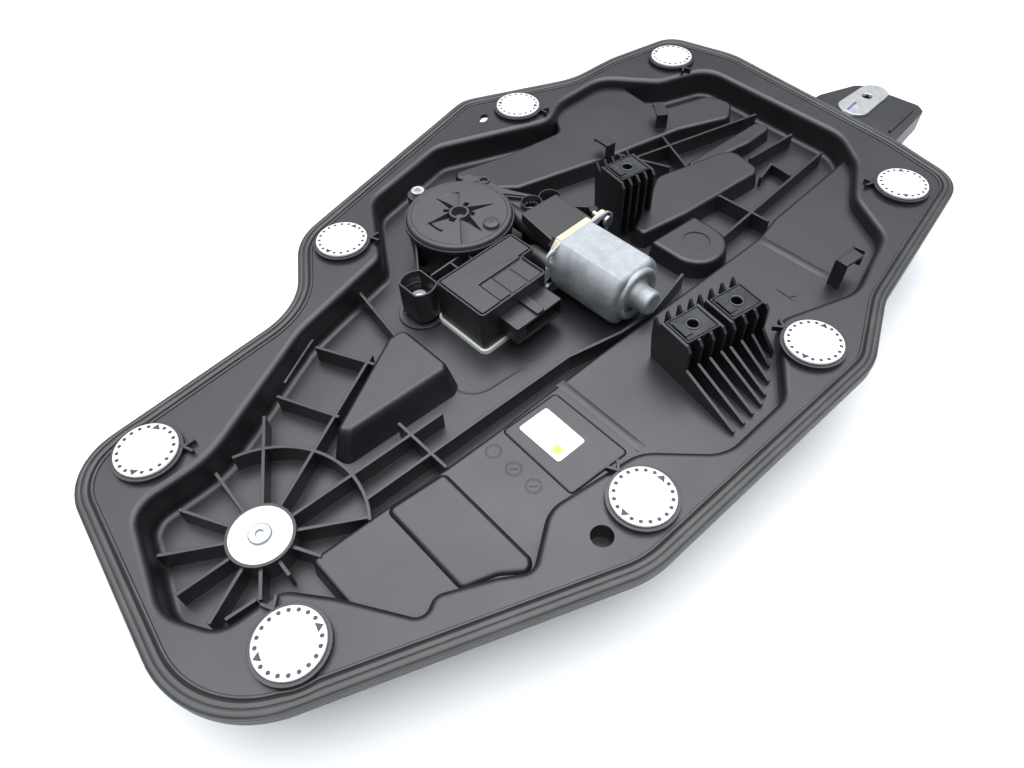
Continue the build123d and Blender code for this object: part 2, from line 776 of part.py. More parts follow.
# Brush plate between can and gearbox, with the two carbon brushes in it
brush_y = can_front_y + brush_thick / 2
with BuildPart() as brush_plate:
    with BuildSketch(across(can_front_y)):
        can_profile(brush_inset)
        with Locations(*can_ears):
            Circle(can_ear_radius)
        with BuildLine():
            for ear in can_ears:
                Line((0, 0), ear)
        trace(line_width=2 * can_ear_radius)
        Circle(commutator_radius + 1, mode=Mode.SUBTRACT)
        with Locations(*can_ears):
            Circle(can_screw_radius, mode=Mode.SUBTRACT)
    extrude(amount=-brush_thick)
    with BuildSketch(across(brush_y)):
        with Locations((brush_centre, 0), (-brush_centre, 0)):
            Rectangle(brush_long, brush_wide)
    extrude(amount=brush_thick / 4, both=True, mode=Mode.SUBTRACT)
save(brush_plate, "brush_plate")

with BuildPart() as carbon_brushes:
    with BuildSketch(across(brush_y)):
        with Locations((brush_centre, 0), (-brush_centre, 0)):
            Rectangle(brush_long, brush_wide)
        Circle(commutator_radius + run_fit, mode=Mode.SUBTRACT)
    extrude(amount=brush_thick / 4, both=True)
save(carbon_brushes, "carbon_brushes")

# Gearbox housing: pot for the worm wheel, tunnel for the worm, three fixing ears
neck_y = can_front_y + brush_thick
with BuildPart() as gearbox_housing:
    with BuildSketch(Plane.XY.offset(gear_bottom)):
        with Locations(drum_place):
            Circle(gear_radius)
        with Locations((module_x[0] / 2 + module_x[1] / 2, module_y[1] + bridge_deep / 2)):
            Rectangle(module_x[1] - module_x[0], bridge_deep)
    extrude(amount=cover_seat - gear_bottom)
    for x, y, radius, top, recess, seat in ear_screws:
        with BuildSketch(Plane.XY.offset(gear_bottom)):
            with Locations((x, y)):
                Circle(radius)
        extrude(amount=top - gear_bottom)
        with BuildSketch(Plane.XY.offset(gear_bottom)):
            with BuildLine():
                Line((x, y), drum_place)
            trace(line_width=ear_web)
        extrude(amount=min(top, cover_seat) - ear_web_drop - gear_bottom)
    with BuildSketch(across(neck_y)):
        Circle(tunnel_radius)
    extrude(amount=neck_y - shaft_top_y - gear_wall)
    with BuildSketch(across(neck_y)):
        can_profile(brush_inset)
        with Locations(*can_ears):
            Circle(can_ear_radius)
        with BuildLine():
            for ear in can_ears:
                Line((0, 0), ear)
        trace(line_width=2 * can_ear_radius)
    extrude(amount=-neck_flange)
    with BuildSketch(Plane.XY.offset(motor_z)):
        with BuildLine():
            closed_outline(neck_edge)
        make_face()
    extrude(amount=cover_rim - motor_z)
    # Room for the cover, the wheel, the worm and the drive
    with BuildSketch(Plane.XY.offset(cover_seat)):
        with Locations(drum_place):
            Circle(cover_radius + clear_fit)
    extrude(amount=cover_dome, mode=Mode.SUBTRACT)
    with BuildSketch(Plane.XY.offset(gear_bottom + gear_wall)):
        with Locations(drum_place):
            Circle(gear_radius - gear_wall)
    extrude(amount=cover_seat - gear_bottom - gear_wall, mode=Mode.SUBTRACT)
    with BuildSketch(Plane.XY.offset(gear_bottom)):
        with Locations(drum_place):
            Circle(coupling_flange + clear_fit)
    extrude(amount=gear_wall, mode=Mode.SUBTRACT)
    with BuildSketch(across(neck_y)):
        Circle(bush_radius)
    extrude(amount=neck_y - shaft_top_y, mode=Mode.SUBTRACT)
    with BuildSketch(across(neck_y)):
        with Locations(*can_ears):
            Circle(can_screw_radius)
    extrude(amount=-neck_flange, mode=Mode.SUBTRACT)
    # Screw holes and recesses in the ears
    for x, y, radius, top, recess, seat in ear_screws:
        with BuildSketch(Plane.XY.offset(gear_bottom)):
            with Locations((x, y)):
                Circle(screw_radius)
        extrude(amount=top - gear_bottom, mode=Mode.SUBTRACT)
        if top > seat:
            with BuildSketch(Plane.XY.offset(seat)):
                with Locations((x, y)):
                    Circle(recess)
            extrude(amount=top - seat, mode=Mode.SUBTRACT)
    # Pockets between the webs of the bridge to the control module
    with BuildSketch(Plane.XY.offset(cover_seat)):
        with Locations(*bridge_pockets):
            Rectangle(pocket_long, bridge_deep - 2 * module_wall)
    extrude(amount=-pocket_deep, mode=Mode.SUBTRACT)
save(gearbox_housing, "gearbox_housing")

# Gear cover with its star of slots
with BuildPart() as gear_cover:
    with BuildSketch(Plane.XY.offset(cover_seat)):
        with Locations(drum_place):
            Circle(cover_radius)
    extrude(amount=cover_rim - cover_seat)
    with BuildSketch(Plane.XY.offset(cover_rim)):
        with Locations(drum_place):
            Circle(cover_radius - cover_step)
    extrude(amount=cover_dome - cover_rim, taper=30)
    with BuildSketch(Plane.XY.offset(cover_dome)):
        with Locations(drum_place):
            with PolarLocations(cover_slot_place, cover_slots):
                RectangleRounded(cover_slot_long, cover_slot_wide, cover_slot_wide * 0.45)
    extrude(amount=-cover_slot_deep, mode=Mode.SUBTRACT)
    with BuildSketch(Plane.XY.offset(axle_top - 1)):
        with Locations(drum_place):
            Circle(cover_bore)
    extrude(amount=cover_dome, mode=Mode.SUBTRACT)
    with BuildSketch(Plane.XY.offset(cover_seat)):
        with Locations(drum_place):
            Circle(axle_radius)
    extrude(amount=cover_dome, mode=Mode.SUBTRACT)
    with BuildSketch(Plane.XY.offset(cover_rim)):
        with Locations(cover_stud):
            Circle(cover_stud_radius)
    extrude(amount=cover_dome - cover_rim + 2)
save(gear_cover, "gear_cover")

# Worm wheel, its rubber damper and the drive coupling on one axle
wheel_under = motor_z - wheel_thick / 2
with BuildPart() as worm_wheel:
    with BuildSketch(Plane.XY.offset(wheel_under)):
        with Locations(drum_place):
            Circle(wheel_tip)
            with PolarLocations(wheel_tip, wheel_teeth):
                Rectangle(2 * (wheel_tip - wheel_root), pi * wheel_tip / wheel_teeth, mode=Mode.SUBTRACT)
            Circle(axle_radius + run_fit, mode=Mode.SUBTRACT)
    extrude(amount=wheel_thick)
    with BuildSketch(Plane.XY.offset(wheel_under)):
        with Locations(drum_place):
            Circle(damper_radius)
    extrude(amount=damper_thick, mode=Mode.SUBTRACT)
save(worm_wheel, "worm_wheel")

with BuildPart() as wheel_damper:
    with BuildSketch(Plane.XY.offset(wheel_under)):
        with Locations(drum_place):
            Circle(damper_radius)
            Circle(coupling_flange, mode=Mode.SUBTRACT)
    extrude(amount=damper_thick)
save(wheel_damper, "wheel_damper")

drum_under = drum_top - drum_height
with BuildPart() as drive_coupling:
    with BuildSketch(Plane.XY.offset(gear_bottom)):
        with Locations(drum_place):
            Circle(coupling_flange)
            Circle(axle_radius + run_fit, mode=Mode.SUBTRACT)
    extrude(amount=wheel_under + damper_thick - gear_bottom)
    with BuildSketch(Plane.XY.offset(drum_under + drum_wall)):
        with Locations(drum_place):
            Circle(coupling_radius)
            with PolarLocations(coupling_radius, coupling_splines):
                Rectangle(spline_deep, spline_wide, mode=Mode.SUBTRACT)
            Circle(axle_radius + run_fit, mode=Mode.SUBTRACT)
    extrude(amount=gear_bottom - drum_under - drum_wall)
save(drive_coupling, "drive_coupling")

with BuildPart() as wheel_axle:
    with BuildSketch(Plane.XY.offset(drum_cup_under)):
        with Locations(drum_place):
            Circle(axle_radius)
    extrude(amount=axle_top - drum_cup_under)
save(wheel_axle, "wheel_axle")

# Motor screws, one in each ear, down into the panel's posts
with BuildPart() as motor_screws:
    for x, y, radius, top, recess, seat in ear_screws:
        with BuildSketch(Plane.XY.offset(seat)):
            with Locations((x, y)):
                Circle(motor_screw_head)
        extrude(amount=motor_screw_high)
        with BuildSketch(Plane.XY.offset(seat + motor_screw_high)):
            with Locations((x, y)):
                RegularPolygon(screw_radius, 6)
        extrude(amount=-motor_screw_high * 0.6, mode=Mode.SUBTRACT)
        with BuildSketch(Plane.XY.offset(floor_under + 1)):
            with Locations((x, y)):
                Circle(screw_radius)
        extrude(amount=seat - floor_under - 1)
save(motor_screws, "motor_screws")

with BuildPart() as can_screws:
    with BuildSketch(across(can_front_y - can_ear_thick)):
        with Locations(*can_ears):
            Circle(can_screw_head)
    extrude(amount=can_screw_high)
    with BuildSketch(across(can_front_y - can_ear_thick)):
        with Locations(*can_ears):
            Circle(can_screw_radius)
    extrude(amount=-can_ear_thick - brush_thick - neck_flange + 1)
save(can_screws, "can_screws")

# Control module: housing, lid, gasket, circuit board, connector socket and pins
with BuildSketch() as module_area:
    with BuildLine():
        closed_outline(module_edge)
    make_face()
with BuildPart() as module_housing:
    with BuildSketch(Plane.XY.offset(module_bottom)):
        add(module_area.sketch)
    extrude(amount=module_top - module_bottom)
    with BuildSketch(Plane.XY.offset(module_bottom + module_wall)):
        add(module_area.sketch)
        offset(amount=-module_wall)
    extrude(amount=module_top - module_bottom - module_wall, mode=Mode.SUBTRACT)
    with BuildSketch(Plane.XY.offset(module_bottom + module_wall)):
        with Locations(*board_posts):
            Circle(board_post_radius)
    extrude(amount=board_under - module_bottom - module_wall)
    with BuildSketch(Plane.XZ.offset(-module_y[0])):
        with Locations(((plug_x[0] + plug_x[1]) / 2, (plug_z[0] + plug_z[1]) / 2)):
            Rectangle(pin_window_long, pin_window_high)
    extrude(amount=-module_wall, mode=Mode.SUBTRACT)
save(module_housing, "module_housing")

with BuildPart() as module_lid:
    with BuildSketch(Plane.XY.offset(module_top)):
        add(module_area.sketch)
    extrude(amount=lid_top - module_top)
    with BuildSketch(Plane.XY.offset(lid_top)):
        with Locations(lid_panel[:2]):
            Rectangle(*lid_panel[2:])
    extrude(amount=-lid_recess, mode=Mode.SUBTRACT)
    with BuildSketch(Plane.XY.offset(lid_top - lid_recess)):
        with Locations(lid_panel[:2]):
            with GridLocations(lid_panel[2] / 3, 1, 2, 1):
                Rectangle(lid_recess, lid_panel[3])
    extrude(amount=lid_recess)
    with BuildSketch(Plane.XY.offset(lid_top)):
        with Locations(lid_block[:2]):
            RectangleRounded(*lid_block[2:], 2)
    extrude(amount=lid_recess)
save(module_lid, "module_lid")

with BuildPart() as module_gasket:
    with BuildSketch(Plane.XY.offset(floor_top)):
        add(module_area.sketch)
        offset(amount=gasket_out)
        with BuildSketch(mode=Mode.PRIVATE) as gasket_hole:
            add(module_area.sketch)
            offset(amount=-gasket_in)
        add(gasket_hole.sketch, mode=Mode.SUBTRACT)
    extrude(amount=module_bottom - floor_top)
save(module_gasket, "module_gasket")

with BuildPart() as circuit_board:
    with BuildSketch(Plane.XY.offset(board_under)):
        add(module_area.sketch)
        offset(amount=-module_wall - clear_fit)
    extrude(amount=board_thick)
    for x, y, long, wide, high in board_parts:
        with BuildSketch(Plane.XY.offset(board_under + board_thick)):
            with Locations((x, y)):
                Rectangle(long, wide)
        extrude(amount=high)
save(circuit_board, "circuit_board")

plug_centre = ((plug_x[0] + plug_x[1]) / 2, (plug_z[0] + plug_z[1]) / 2)
with BuildPart() as connector_socket:
    with BuildSketch(Plane.XZ.offset(-plug_y[0])):
        with Locations(plug_centre):
            RectangleRounded(plug_x[1] - plug_x[0], plug_z[1] - plug_z[0], 1.5)
        with Locations((plug_centre[0] - plug_key, plug_z[1])):
            Rectangle(plug_key_wide, 2 * plug_wall)
    extrude(amount=plug_y[0] - module_y[0])
    with BuildSketch(Plane.XZ.offset(-plug_y[0])):
        with Locations(plug_centre):
            Rectangle(plug_x[1] - plug_x[0] - 2 * plug_wall, plug_z[1] - plug_z[0] - 2 * plug_wall)
    extrude(amount=plug_y[0] - module_y[0] + plug_wall, mode=Mode.SUBTRACT)
    with BuildSketch(Plane.XZ.offset(-plug_y[0])):
        with Locations(plug_centre):
            Rectangle(pin_window_long, pin_window_high)
    extrude(amount=plug_y[0] - module_y[0], mode=Mode.SUBTRACT)
save(connector_socket, "connector_socket")

with BuildPart() as connector_pins:
    with BuildSketch(Plane.XZ.offset(-module_y[0] + pin_reach)):
        with Locations(plug_centre):
            Rectangle(pin_window_long, pin_window_high)
    extrude(amount=-pin_carrier)
    with BuildSketch(Plane.XZ.offset(-module_y[0] + pin_reach)):
        with Locations(plug_centre):
            with GridLocations(pin_step, pin_step, pin_count, 2):
                Rectangle(pin_thick, pin_thick)
    extrude(amount=pin_length)
save(connector_pins, "connector_pins")

# Drum housing under the floor, with its screws
with BuildPart() as drum_housing:
    with BuildSketch(Plane.XY.offset(floor_under)):
        with Locations(drum_place):
            Circle(drum_cup_radius)
        with Locations(*drum_screws):
            Circle(drum_ear_radius)
        with BuildLine():
            for place in drum_screws:
                Line(drum_place, place)
        trace(line_width=2 * drum_ear_radius)
    extrude(amount=-drum_wall)
    with BuildSketch(Plane.XY.offset(floor_under)):
        with Locations(drum_place):
            Circle(drum_cup_radius)
    extrude(amount=drum_cup_under - floor_under)
    with BuildSketch(Plane.XY.offset(floor_under)):
        with Locations(drum_place):
            Circle(drum_cup_radius - drum_wall)
    extrude(amount=drum_cup_under - floor_under + drum_wall, mode=Mode.SUBTRACT)
    with BuildSketch(Plane.XY.offset(drum_cup_under)):
        with Locations(drum_place):
            Circle(axle_radius)
    extrude(amount=drum_wall, mode=Mode.SUBTRACT)
    with BuildSketch(Plane.XY.offset(floor_under)):
        with Locations(*drum_screws):
            Circle(drum_screw_radius)
    extrude(amount=-drum_wall, mode=Mode.SUBTRACT)
    for angle in drum_exits:
        out = Vector(cos(radians(angle)), sin(radians(angle)), 0)
        left = Vector(sin(radians(angle)), -cos(radians(angle)), 0)
        side = 1 if cos(radians(angle)) > 0 else -1
        start = Vector(*drum_place, cable_level) - left * drum_pitch * side
        mouth = Plane(origin=start, x_dir=(0, 0, 1), z_dir=out)
        with BuildSketch(mouth):
            Circle(sheath_radius + clear_fit)
        extrude(amount=exit_mouth, mode=Mode.SUBTRACT)
save(drum_housing, "drum_housing")

with BuildPart() as drum_housing_screws:
    with BuildSketch(Plane.XY.offset(floor_under - drum_wall)):
        with Locations(*drum_screws):
            Circle(2 * drum_screw_radius)
    extrude(amount=-drum_screw_radius)
    with BuildSketch(Plane.XY.offset(floor_under - drum_wall)):
        with Locations(*drum_screws):
            Circle(drum_screw_radius)
    extrude(amount=drum_wall + wall)
save(drum_housing_screws, "drum_housing_screws")

# Cable drum and the cable turns on it
with BuildPart() as cable_drum:
    with BuildSketch(Plane.XY.offset(drum_under)):
        with Locations(drum_place):
            Circle(drum_rim)
    extrude(amount=drum_height)
    with BuildSketch(Plane.XY.offset(cable_level - turn_step * (turn_count - 1) / 2 - drum_pitch + drum_root)):
        with Locations(drum_place):
            Circle(drum_rim)
            Circle(drum_root, mode=Mode.SUBTRACT)
    extrude(amount=turn_step * (turn_count - 1) + 2 * (drum_pitch - drum_root), mode=Mode.SUBTRACT)
    with BuildSketch(Plane.XY.offset(drum_under + drum_wall)):
        with Locations(drum_place):
            Circle(coupling_radius)
            with PolarLocations(coupling_radius, coupling_splines):
                Rectangle(spline_deep, spline_wide, mode=Mode.SUBTRACT)
    extrude(amount=drum_height - drum_wall, mode=Mode.SUBTRACT)
    with BuildSketch(Plane.XY.offset(drum_under)):
        with Locations(drum_place):
            Circle(axle_radius + run_fit)
    extrude(amount=drum_wall, mode=Mode.SUBTRACT)
save(cable_drum, "cable_drum")

with BuildPart() as drum_cable_turns:
    for index in range(turn_count):
        level = cable_level + (index - (turn_count - 1) / 2) * turn_step
        with BuildSketch(Plane(origin=(*drum_place, level), x_dir=(1, 0, 0), z_dir=(0, -1, 0))):
            with Locations((drum_pitch, 0)):
                RegularPolygon(cable_radius, 6)
        revolve(axis=Axis((*drum_place, level), (0, 0, 1)))
save(drum_cable_turns, "drum_cable_turns")

# Guide rail: folded steel channel under the floor, open downwards between its lips
upper_pulley = (upper_pulley_x, rail_y)
rail_long = rail_flange_end - rail_flange_start
with BuildPart() as guide_rail:
    with BuildSketch(Plane.XY.offset(floor_under)):
        with Locations(((hub_place[0] + upper_pulley_x) / 2, rail_y)):
            SlotCenterToCenter(upper_pulley_x - hub_place[0], rail_width)
    extrude(amount=-rail_sheet)
    with BuildSketch(Plane(origin=(rail_flange_start, rail_y, floor_under), x_dir=(0, 1, 0), z_dir=(1, 0, 0))):
        with Locations((0, -rail_depth / 2)):
            Rectangle(rail_width, rail_depth)
            Rectangle(rail_width - 2 * rail_sheet, rail_depth - 2 * rail_sheet, mode=Mode.SUBTRACT)
        with Locations((0, -rail_depth + rail_sheet / 2)):
            Rectangle(rail_width - 2 * rail_lip, rail_sheet, mode=Mode.SUBTRACT)
    extrude(amount=rail_long)
    with BuildSketch(Plane.XY.offset(floor_under)):
        with Locations(hub_place, upper_pulley):
            Circle(pulley_pin_radius)
        with Locations(*rail_rivet_places):
            Circle(rivet_radius)
    extrude(amount=-rail_sheet, mode=Mode.SUBTRACT)
save(guide_rail, "guide_rail")

# Pulleys: grooved wheels on pins
pulley_tops = [(hub_place, floor_under - rail_sheet), (upper_pulley, floor_under - head_skin)]
for place, under, name in ((*pulley_tops[0], "lower_pulley"), (*pulley_tops[1], "upper_pulley")):
    with BuildPart() as pulley:
        with BuildSketch(Plane(origin=(*place, 0), x_dir=(1, 0, 0), z_dir=(0, -1, 0))):
            with BuildLine():
                Polyline(
                    (pulley_pin_radius + run_fit, under - clear_fit), (pulley_hub_radius, under - clear_fit),
                    (pulley_hub_radius, cable_level + pulley_thick / 2),
                    (pulley_rim, cable_level + pulley_thick / 2), (pulley_rim, cable_level + groove_half),
                    (pulley_pitch - cable_radius - clear_fit, cable_level + cable_radius),
                    (pulley_pitch - cable_radius - clear_fit, cable_level - cable_radius),
                    (pulley_rim, cable_level - groove_half), (pulley_rim, cable_level - pulley_thick / 2),
                    (pulley_hub_radius, cable_level - pulley_thick / 2),
                    (pulley_hub_radius, pulley_hub_under), (pulley_pin_radius + run_fit, pulley_hub_under),
                    close=True,
                )
            make_face()
        revolve(axis=Axis((*place, 0), (0, 0, 1)))
        with BuildSketch(Plane.XY.offset(cable_level - pulley_thick / 2)):
            with Locations(place):
                with PolarLocations((pulley_hub_radius + pulley_pitch) / 2 - 1, pulley_holes):
                    Circle(pulley_hole)
        extrude(amount=pulley_thick, mode=Mode.SUBTRACT)
    save(pulley, name)

pin_head_top = pulley_hub_under - clear_fit
with BuildPart() as lower_pulley_pin:
    with BuildSketch(Plane.XY.offset(pin_head_top)):
        with Locations(hub_place):
            Circle(pin_head_radius)
    extrude(amount=-pin_head_thick)
    with BuildSketch(Plane.XY.offset(pin_head_top)):
        with Locations(hub_place):
            Circle(pulley_pin_radius)
    extrude(amount=floor_under - pin_head_top)
    with BuildSketch(Plane.XY.offset(floor_under)):
        with Locations(hub_place):
            Circle(stud_radius)
    extrude(amount=washer_top - washer_thick - floor_under)
    with BuildSketch(Plane.XY.offset(washer_top - washer_thick)):
        with Locations(hub_place):
            Circle(hub_screw_shank)
    extrude(amount=washer_thick - hub_screw_length, mode=Mode.SUBTRACT)
save(lower_pulley_pin, "lower_pulley_pin")

with BuildPart() as upper_pulley_pin:
    with BuildSketch(Plane.XY.offset(pin_head_top)):
        with Locations(upper_pulley):
            Circle(pin_head_radius)
    extrude(amount=-pin_head_thick)
    with BuildSketch(Plane.XY.offset(pin_head_top)):
        with Locations(upper_pulley):
            Circle(pulley_pin_radius)
    extrude(amount=floor_under - pin_head_top)
save(upper_pulley_pin, "upper_pulley_pin")

# Rail head: black moulding round the upper pulley, under the rail's end
with BuildPart() as rail_head:
    with BuildSketch(Plane.XY.offset(head_under)):
        with BuildLine():
            closed_outline(head_edge)
        make_face()
    extrude(amount=floor_under - head_under)
    with BuildSketch(Plane.XY.offset(head_under)):
        with BuildLine():
            closed_outline(head_edge)
        make_face()
        offset(amount=-wall)
        with Locations((head_edge[0][0], rail_y)):
            Rectangle(4 * wall, head_mouth)
    extrude(amount=floor_under - head_skin - head_under, mode=Mode.SUBTRACT)
    with BuildSketch(Plane.XY.offset(floor_under)):
        with Locations(((hub_place[0] + upper_pulley_x) / 2, rail_y)):
            SlotCenterToCenter(upper_pulley_x - hub_place[0], rail_width)
    extrude(amount=-rail_sheet, mode=Mode.SUBTRACT)
    with BuildSketch(Plane.XY.offset(floor_under)):
        with Locations((head_edge[0][0], rail_y)):
            Rectangle(2 * (rail_flange_end + 1 - head_edge[0][0]), rail_width + 1)
    extrude(amount=-rail_depth, mode=Mode.SUBTRACT)
    with BuildSketch(Plane.XY.offset(floor_under)):
        with Locations(upper_pulley):
            Circle(pulley_pin_radius)
        with Locations(*rail_rivet_places):
            Circle(rivet_radius)
        with Locations((bracket_hole_x, rail_y)):
            Circle(bracket_bore + 1)
    extrude(amount=head_under - floor_under, mode=Mode.SUBTRACT)
    with BuildSketch(Plane.XY.offset(floor_under)):
        with BuildLine():
            Line(*head_rib)
        trace(line_width=rib_thick)
    extrude(amount=head_rib_high)
save(rail_head, "rail_head")

# Rail end bracket: zinc tongue on top of the rail's end
with BuildPart() as rail_end_bracket:
    with BuildSketch(Plane.XY.offset(floor_under)):
        with Locations(((bracket_start_x + bracket_end_x) / 2, rail_y)):
            Rectangle(bracket_end_x - bracket_start_x, bracket_width)
    extrude(amount=bracket_thick)
    fillet(rail_end_bracket.edges().filter_by(Axis.Z), radius=bracket_round)
    with BuildSketch(Plane.XY.offset(floor_under)):
        with Locations((bracket_hole_x, rail_y)):
            Circle(bracket_bore)
        with Locations(rail_rivet_places[1]):
            Circle(rivet_radius)
    extrude(amount=bracket_thick, mode=Mode.SUBTRACT)
save(rail_end_bracket, "rail_end_bracket")

with BuildPart() as rail_rivets:
    for place, seat in zip(rail_rivet_places, (floor_under, floor_under + bracket_thick)):
        with BuildSketch(Plane.XY.offset(seat)):
            with Locations(place):
                Circle(2 * rivet_radius)
        extrude(amount=rivet_head)
        with BuildSketch(Plane.XY.offset(floor_under - head_skin)):
            with Locations(place):
                Circle(rivet_radius)
        extrude(amount=seat - floor_under + head_skin)
save(rail_rivets, "rail_rivets")

# Glass carrier: slider body with the slot that takes the glass edge
slot_top = carrier_top - carrier_skin
slot_under = slot_top - slot_gap
carrier_under = slot_under - carrier_skin
with BuildPart() as glass_carrier:
    with BuildSketch(Plane(origin=(carrier_rest_x, rail_y, 0), x_dir=(1, 0, 0), z_dir=(0, -1, 0))):
        with BuildLine():
            Polyline(
                (-carrier_half_length, carrier_top), (carrier_half_length, carrier_top),
                (carrier_half_length, slot_top), (carrier_half_length - slot_depth, slot_top),
                (carrier_half_length - slot_depth, slot_under), (carrier_half_length, slot_under),
                (carrier_half_length, carrier_under), (carrier_web_back, carrier_under),
                (carrier_web_back, slot_top), (-carrier_half_length, slot_top), close=True,
            )
        make_face()
    extrude(amount=carrier_width / 2, both=True)
    fillet(glass_carrier.edges().filter_by(Axis.Z).group_by(Axis.X)[0], radius=carrier_round)
    for x in (-carrier_half_length + 3 * wall, carrier_web_back - 3 * wall):
        with BuildSketch(Plane.XY.offset(slot_top)):
            with Locations((carrier_rest_x + x, rail_y)):
                Rectangle(rib_thick, carrier_width - 4 * wall)
        extrude(amount=-slot_gap)
    with BuildSketch(Plane.XY.offset(carrier_top)):
        with Locations((carrier_rest_x, rail_y - pulley_pitch)):
            Rectangle(2 * arm_half, arm_wide)
    extrude(amount=arm_top - carrier_top)
    with BuildSketch(Plane(origin=(carrier_rest_x, rail_y - pulley_pitch, cable_level),
                           x_dir=(0, 1, 0), z_dir=(1, 0, 0))):
        Circle(cable_hole)
    extrude(amount=arm_half, both=True, mode=Mode.SUBTRACT)
    with BuildSketch(Plane.XY.offset(carrier_under)):
        with Locations((carrier_rest_x + clamp_screw_x, rail_y)):
            Circle(clamp_screw_radius)
    extrude(amount=slot_gap + carrier_skin, mode=Mode.SUBTRACT)
save(glass_carrier, "glass_carrier")

with BuildPart() as slider_shoes:
    for x in (carrier_rest_x - shoe_spread, carrier_rest_x + shoe_spread):
        with BuildSketch(Plane(origin=(x - shoe_length / 2, rail_y, 0), x_dir=(0, 1, 0), z_dir=(1, 0, 0))):
            with Locations((0, (carrier_top + floor_under - rail_depth + rail_sheet) / 2)):
                Rectangle(rail_width - 2 * rail_lip - 2 * clear_fit,
                          floor_under - rail_depth + rail_sheet - carrier_top)
            with Locations((0, floor_under - rail_depth / 2)):
                Rectangle(rail_width - 2 * rail_sheet - 2 * clear_fit, rail_depth - 2 * rail_sheet - 2 * clear_fit)
            with Locations((0, floor_under - rail_depth + rail_sheet)):
                Rectangle(rail_width - 2 * rail_lip - 2 * clear_fit, 2 * rail_sheet)
        extrude(amount=shoe_length)
save(slider_shoes, "slider_shoes")

with BuildPart() as glass_clamp:
    with BuildSketch(Plane.XY.offset(carrier_under)):
        with Locations((carrier_rest_x + clamp_screw_x + clamp_long / 2 - clamp_wide / 2, rail_y)):
            RectangleRounded(clamp_long, clamp_wide, 3)
        with Locations((carrier_rest_x + clamp_screw_x, rail_y)):
            Circle(clamp_screw_radius, mode=Mode.SUBTRACT)
    extrude(amount=-clamp_thick)
save(glass_clamp, "glass_clamp")

with BuildPart() as clamp_screw:
    with BuildSketch(Plane.XY.offset(carrier_under - clamp_thick)):
        with Locations((carrier_rest_x + clamp_screw_x, rail_y)):
            RegularPolygon(2 * clamp_screw_radius, 6)
    extrude(amount=-clamp_screw_radius)
    with BuildSketch(Plane.XY.offset(carrier_under - clamp_thick)):
        with Locations((carrier_rest_x + clamp_screw_x, rail_y)):
            Circle(clamp_screw_radius)
    extrude(amount=clamp_thick + carrier_skin + slot_gap)
save(clamp_screw, "clamp_screw")

with BuildPart() as cable_nipples:
    for x, way in ((carrier_rest_x + arm_half, 1), (carrier_rest_x - arm_half, -1)):
        with BuildSketch(Plane(origin=(x, rail_y - pulley_pitch, cable_level), x_dir=(0, 1, 0), z_dir=(1, 0, 0))):
            Circle(nipple_radius)
            Circle(cable_hole, mode=Mode.SUBTRACT)
        extrude(amount=way * nipple_length)
save(cable_nipples, "cable_nipples")


def toward(angle, side, distance):
    """A point on the cable's straight run that leaves the drum at this angle."""
    turn = radians(angle)
    x = drum_place[0] - side * drum_pitch * sin(turn) + distance * cos(turn)
    y = drum_place[1] + side * drum_pitch * cos(turn) + distance * sin(turn)
    return (x, y)


# Lift cable: from the drum round both pulleys and back, at one level
strand_y = rail_y + pulley_pitch
corners = []
for angle, side in zip(drum_exits, (-1, 1)):
    base = toward(angle, side, 0)
    run = (strand_y - base[1]) / sin(radians(angle))
    corners.append(toward(angle, side, run))
starts = [toward(angle, side, cable_start) for angle, side in zip(drum_exits, (-1, 1))]
with BuildPart() as lift_cable:
    with BuildLine(Plane.XY.offset(cable_level)) as cable_line:
        FilletPolyline(starts[0], corners[0], (hub_place[0] + 0.5, strand_y), radius=[sheath_bend])
        Line((hub_place[0] + 0.5, strand_y), (hub_place[0], strand_y))
        CenterArc(hub_place, pulley_pitch, 90, 180)
        Line((hub_place[0], rail_y - pulley_pitch), (upper_pulley_x, rail_y - pulley_pitch))
        CenterArc(upper_pulley, pulley_pitch, 270, 180)
        FilletPolyline((upper_pulley_x, strand_y), corners[1], starts[1], radius=[sheath_bend])
    with BuildSketch(Plane(origin=(*starts[0], cable_level), x_dir=(0, 0, 1),
                           z_dir=(corners[0][0] - starts[0][0], corners[0][1] - starts[0][1], 0))):
        RegularPolygon(cable_radius, 8)
    sweep(path=cable_line.line)
save(lift_cable, "lift_cable")

# Cable sheaths from the drum housing to the stops, each with an end fitting
for index, name in enumerate(("lower_sheath", "upper_sheath")):
    angle = drum_exits[index]
    side = (-1, 1)[index]
    way = (1, -1)[index]
    first = toward(angle, side, sheath_start)
    last = (cable_stops[index] + way * stop_length / 2, strand_y)
    with BuildPart() as sheath:
        with BuildLine(Plane.XY.offset(cable_level)) as sheath_line:
            FilletPolyline(first, corners[index], last, radius=[sheath_bend])
        with BuildSketch(Plane(origin=(*first, cable_level), x_dir=(0, 0, 1),
                               z_dir=(corners[index][0] - first[0], corners[index][1] - first[1], 0))):
            Circle(sheath_radius)
            Circle(sheath_bore, mode=Mode.SUBTRACT)
        sweep(path=sheath_line.line)
    save(sheath, name)

with BuildPart() as sheath_fittings:
    for x, way in zip(cable_stops, (1, -1)):
        with BuildSketch(Plane(origin=(x + way * stop_length / 2, strand_y, cable_level),
                               x_dir=(0, 1, 0), z_dir=(1, 0, 0))):
            Circle(fitting_radius)
            Circle(sheath_bore, mode=Mode.SUBTRACT)
        extrude(amount=-way * fitting_length)
save(sheath_fittings, "sheath_fittings")
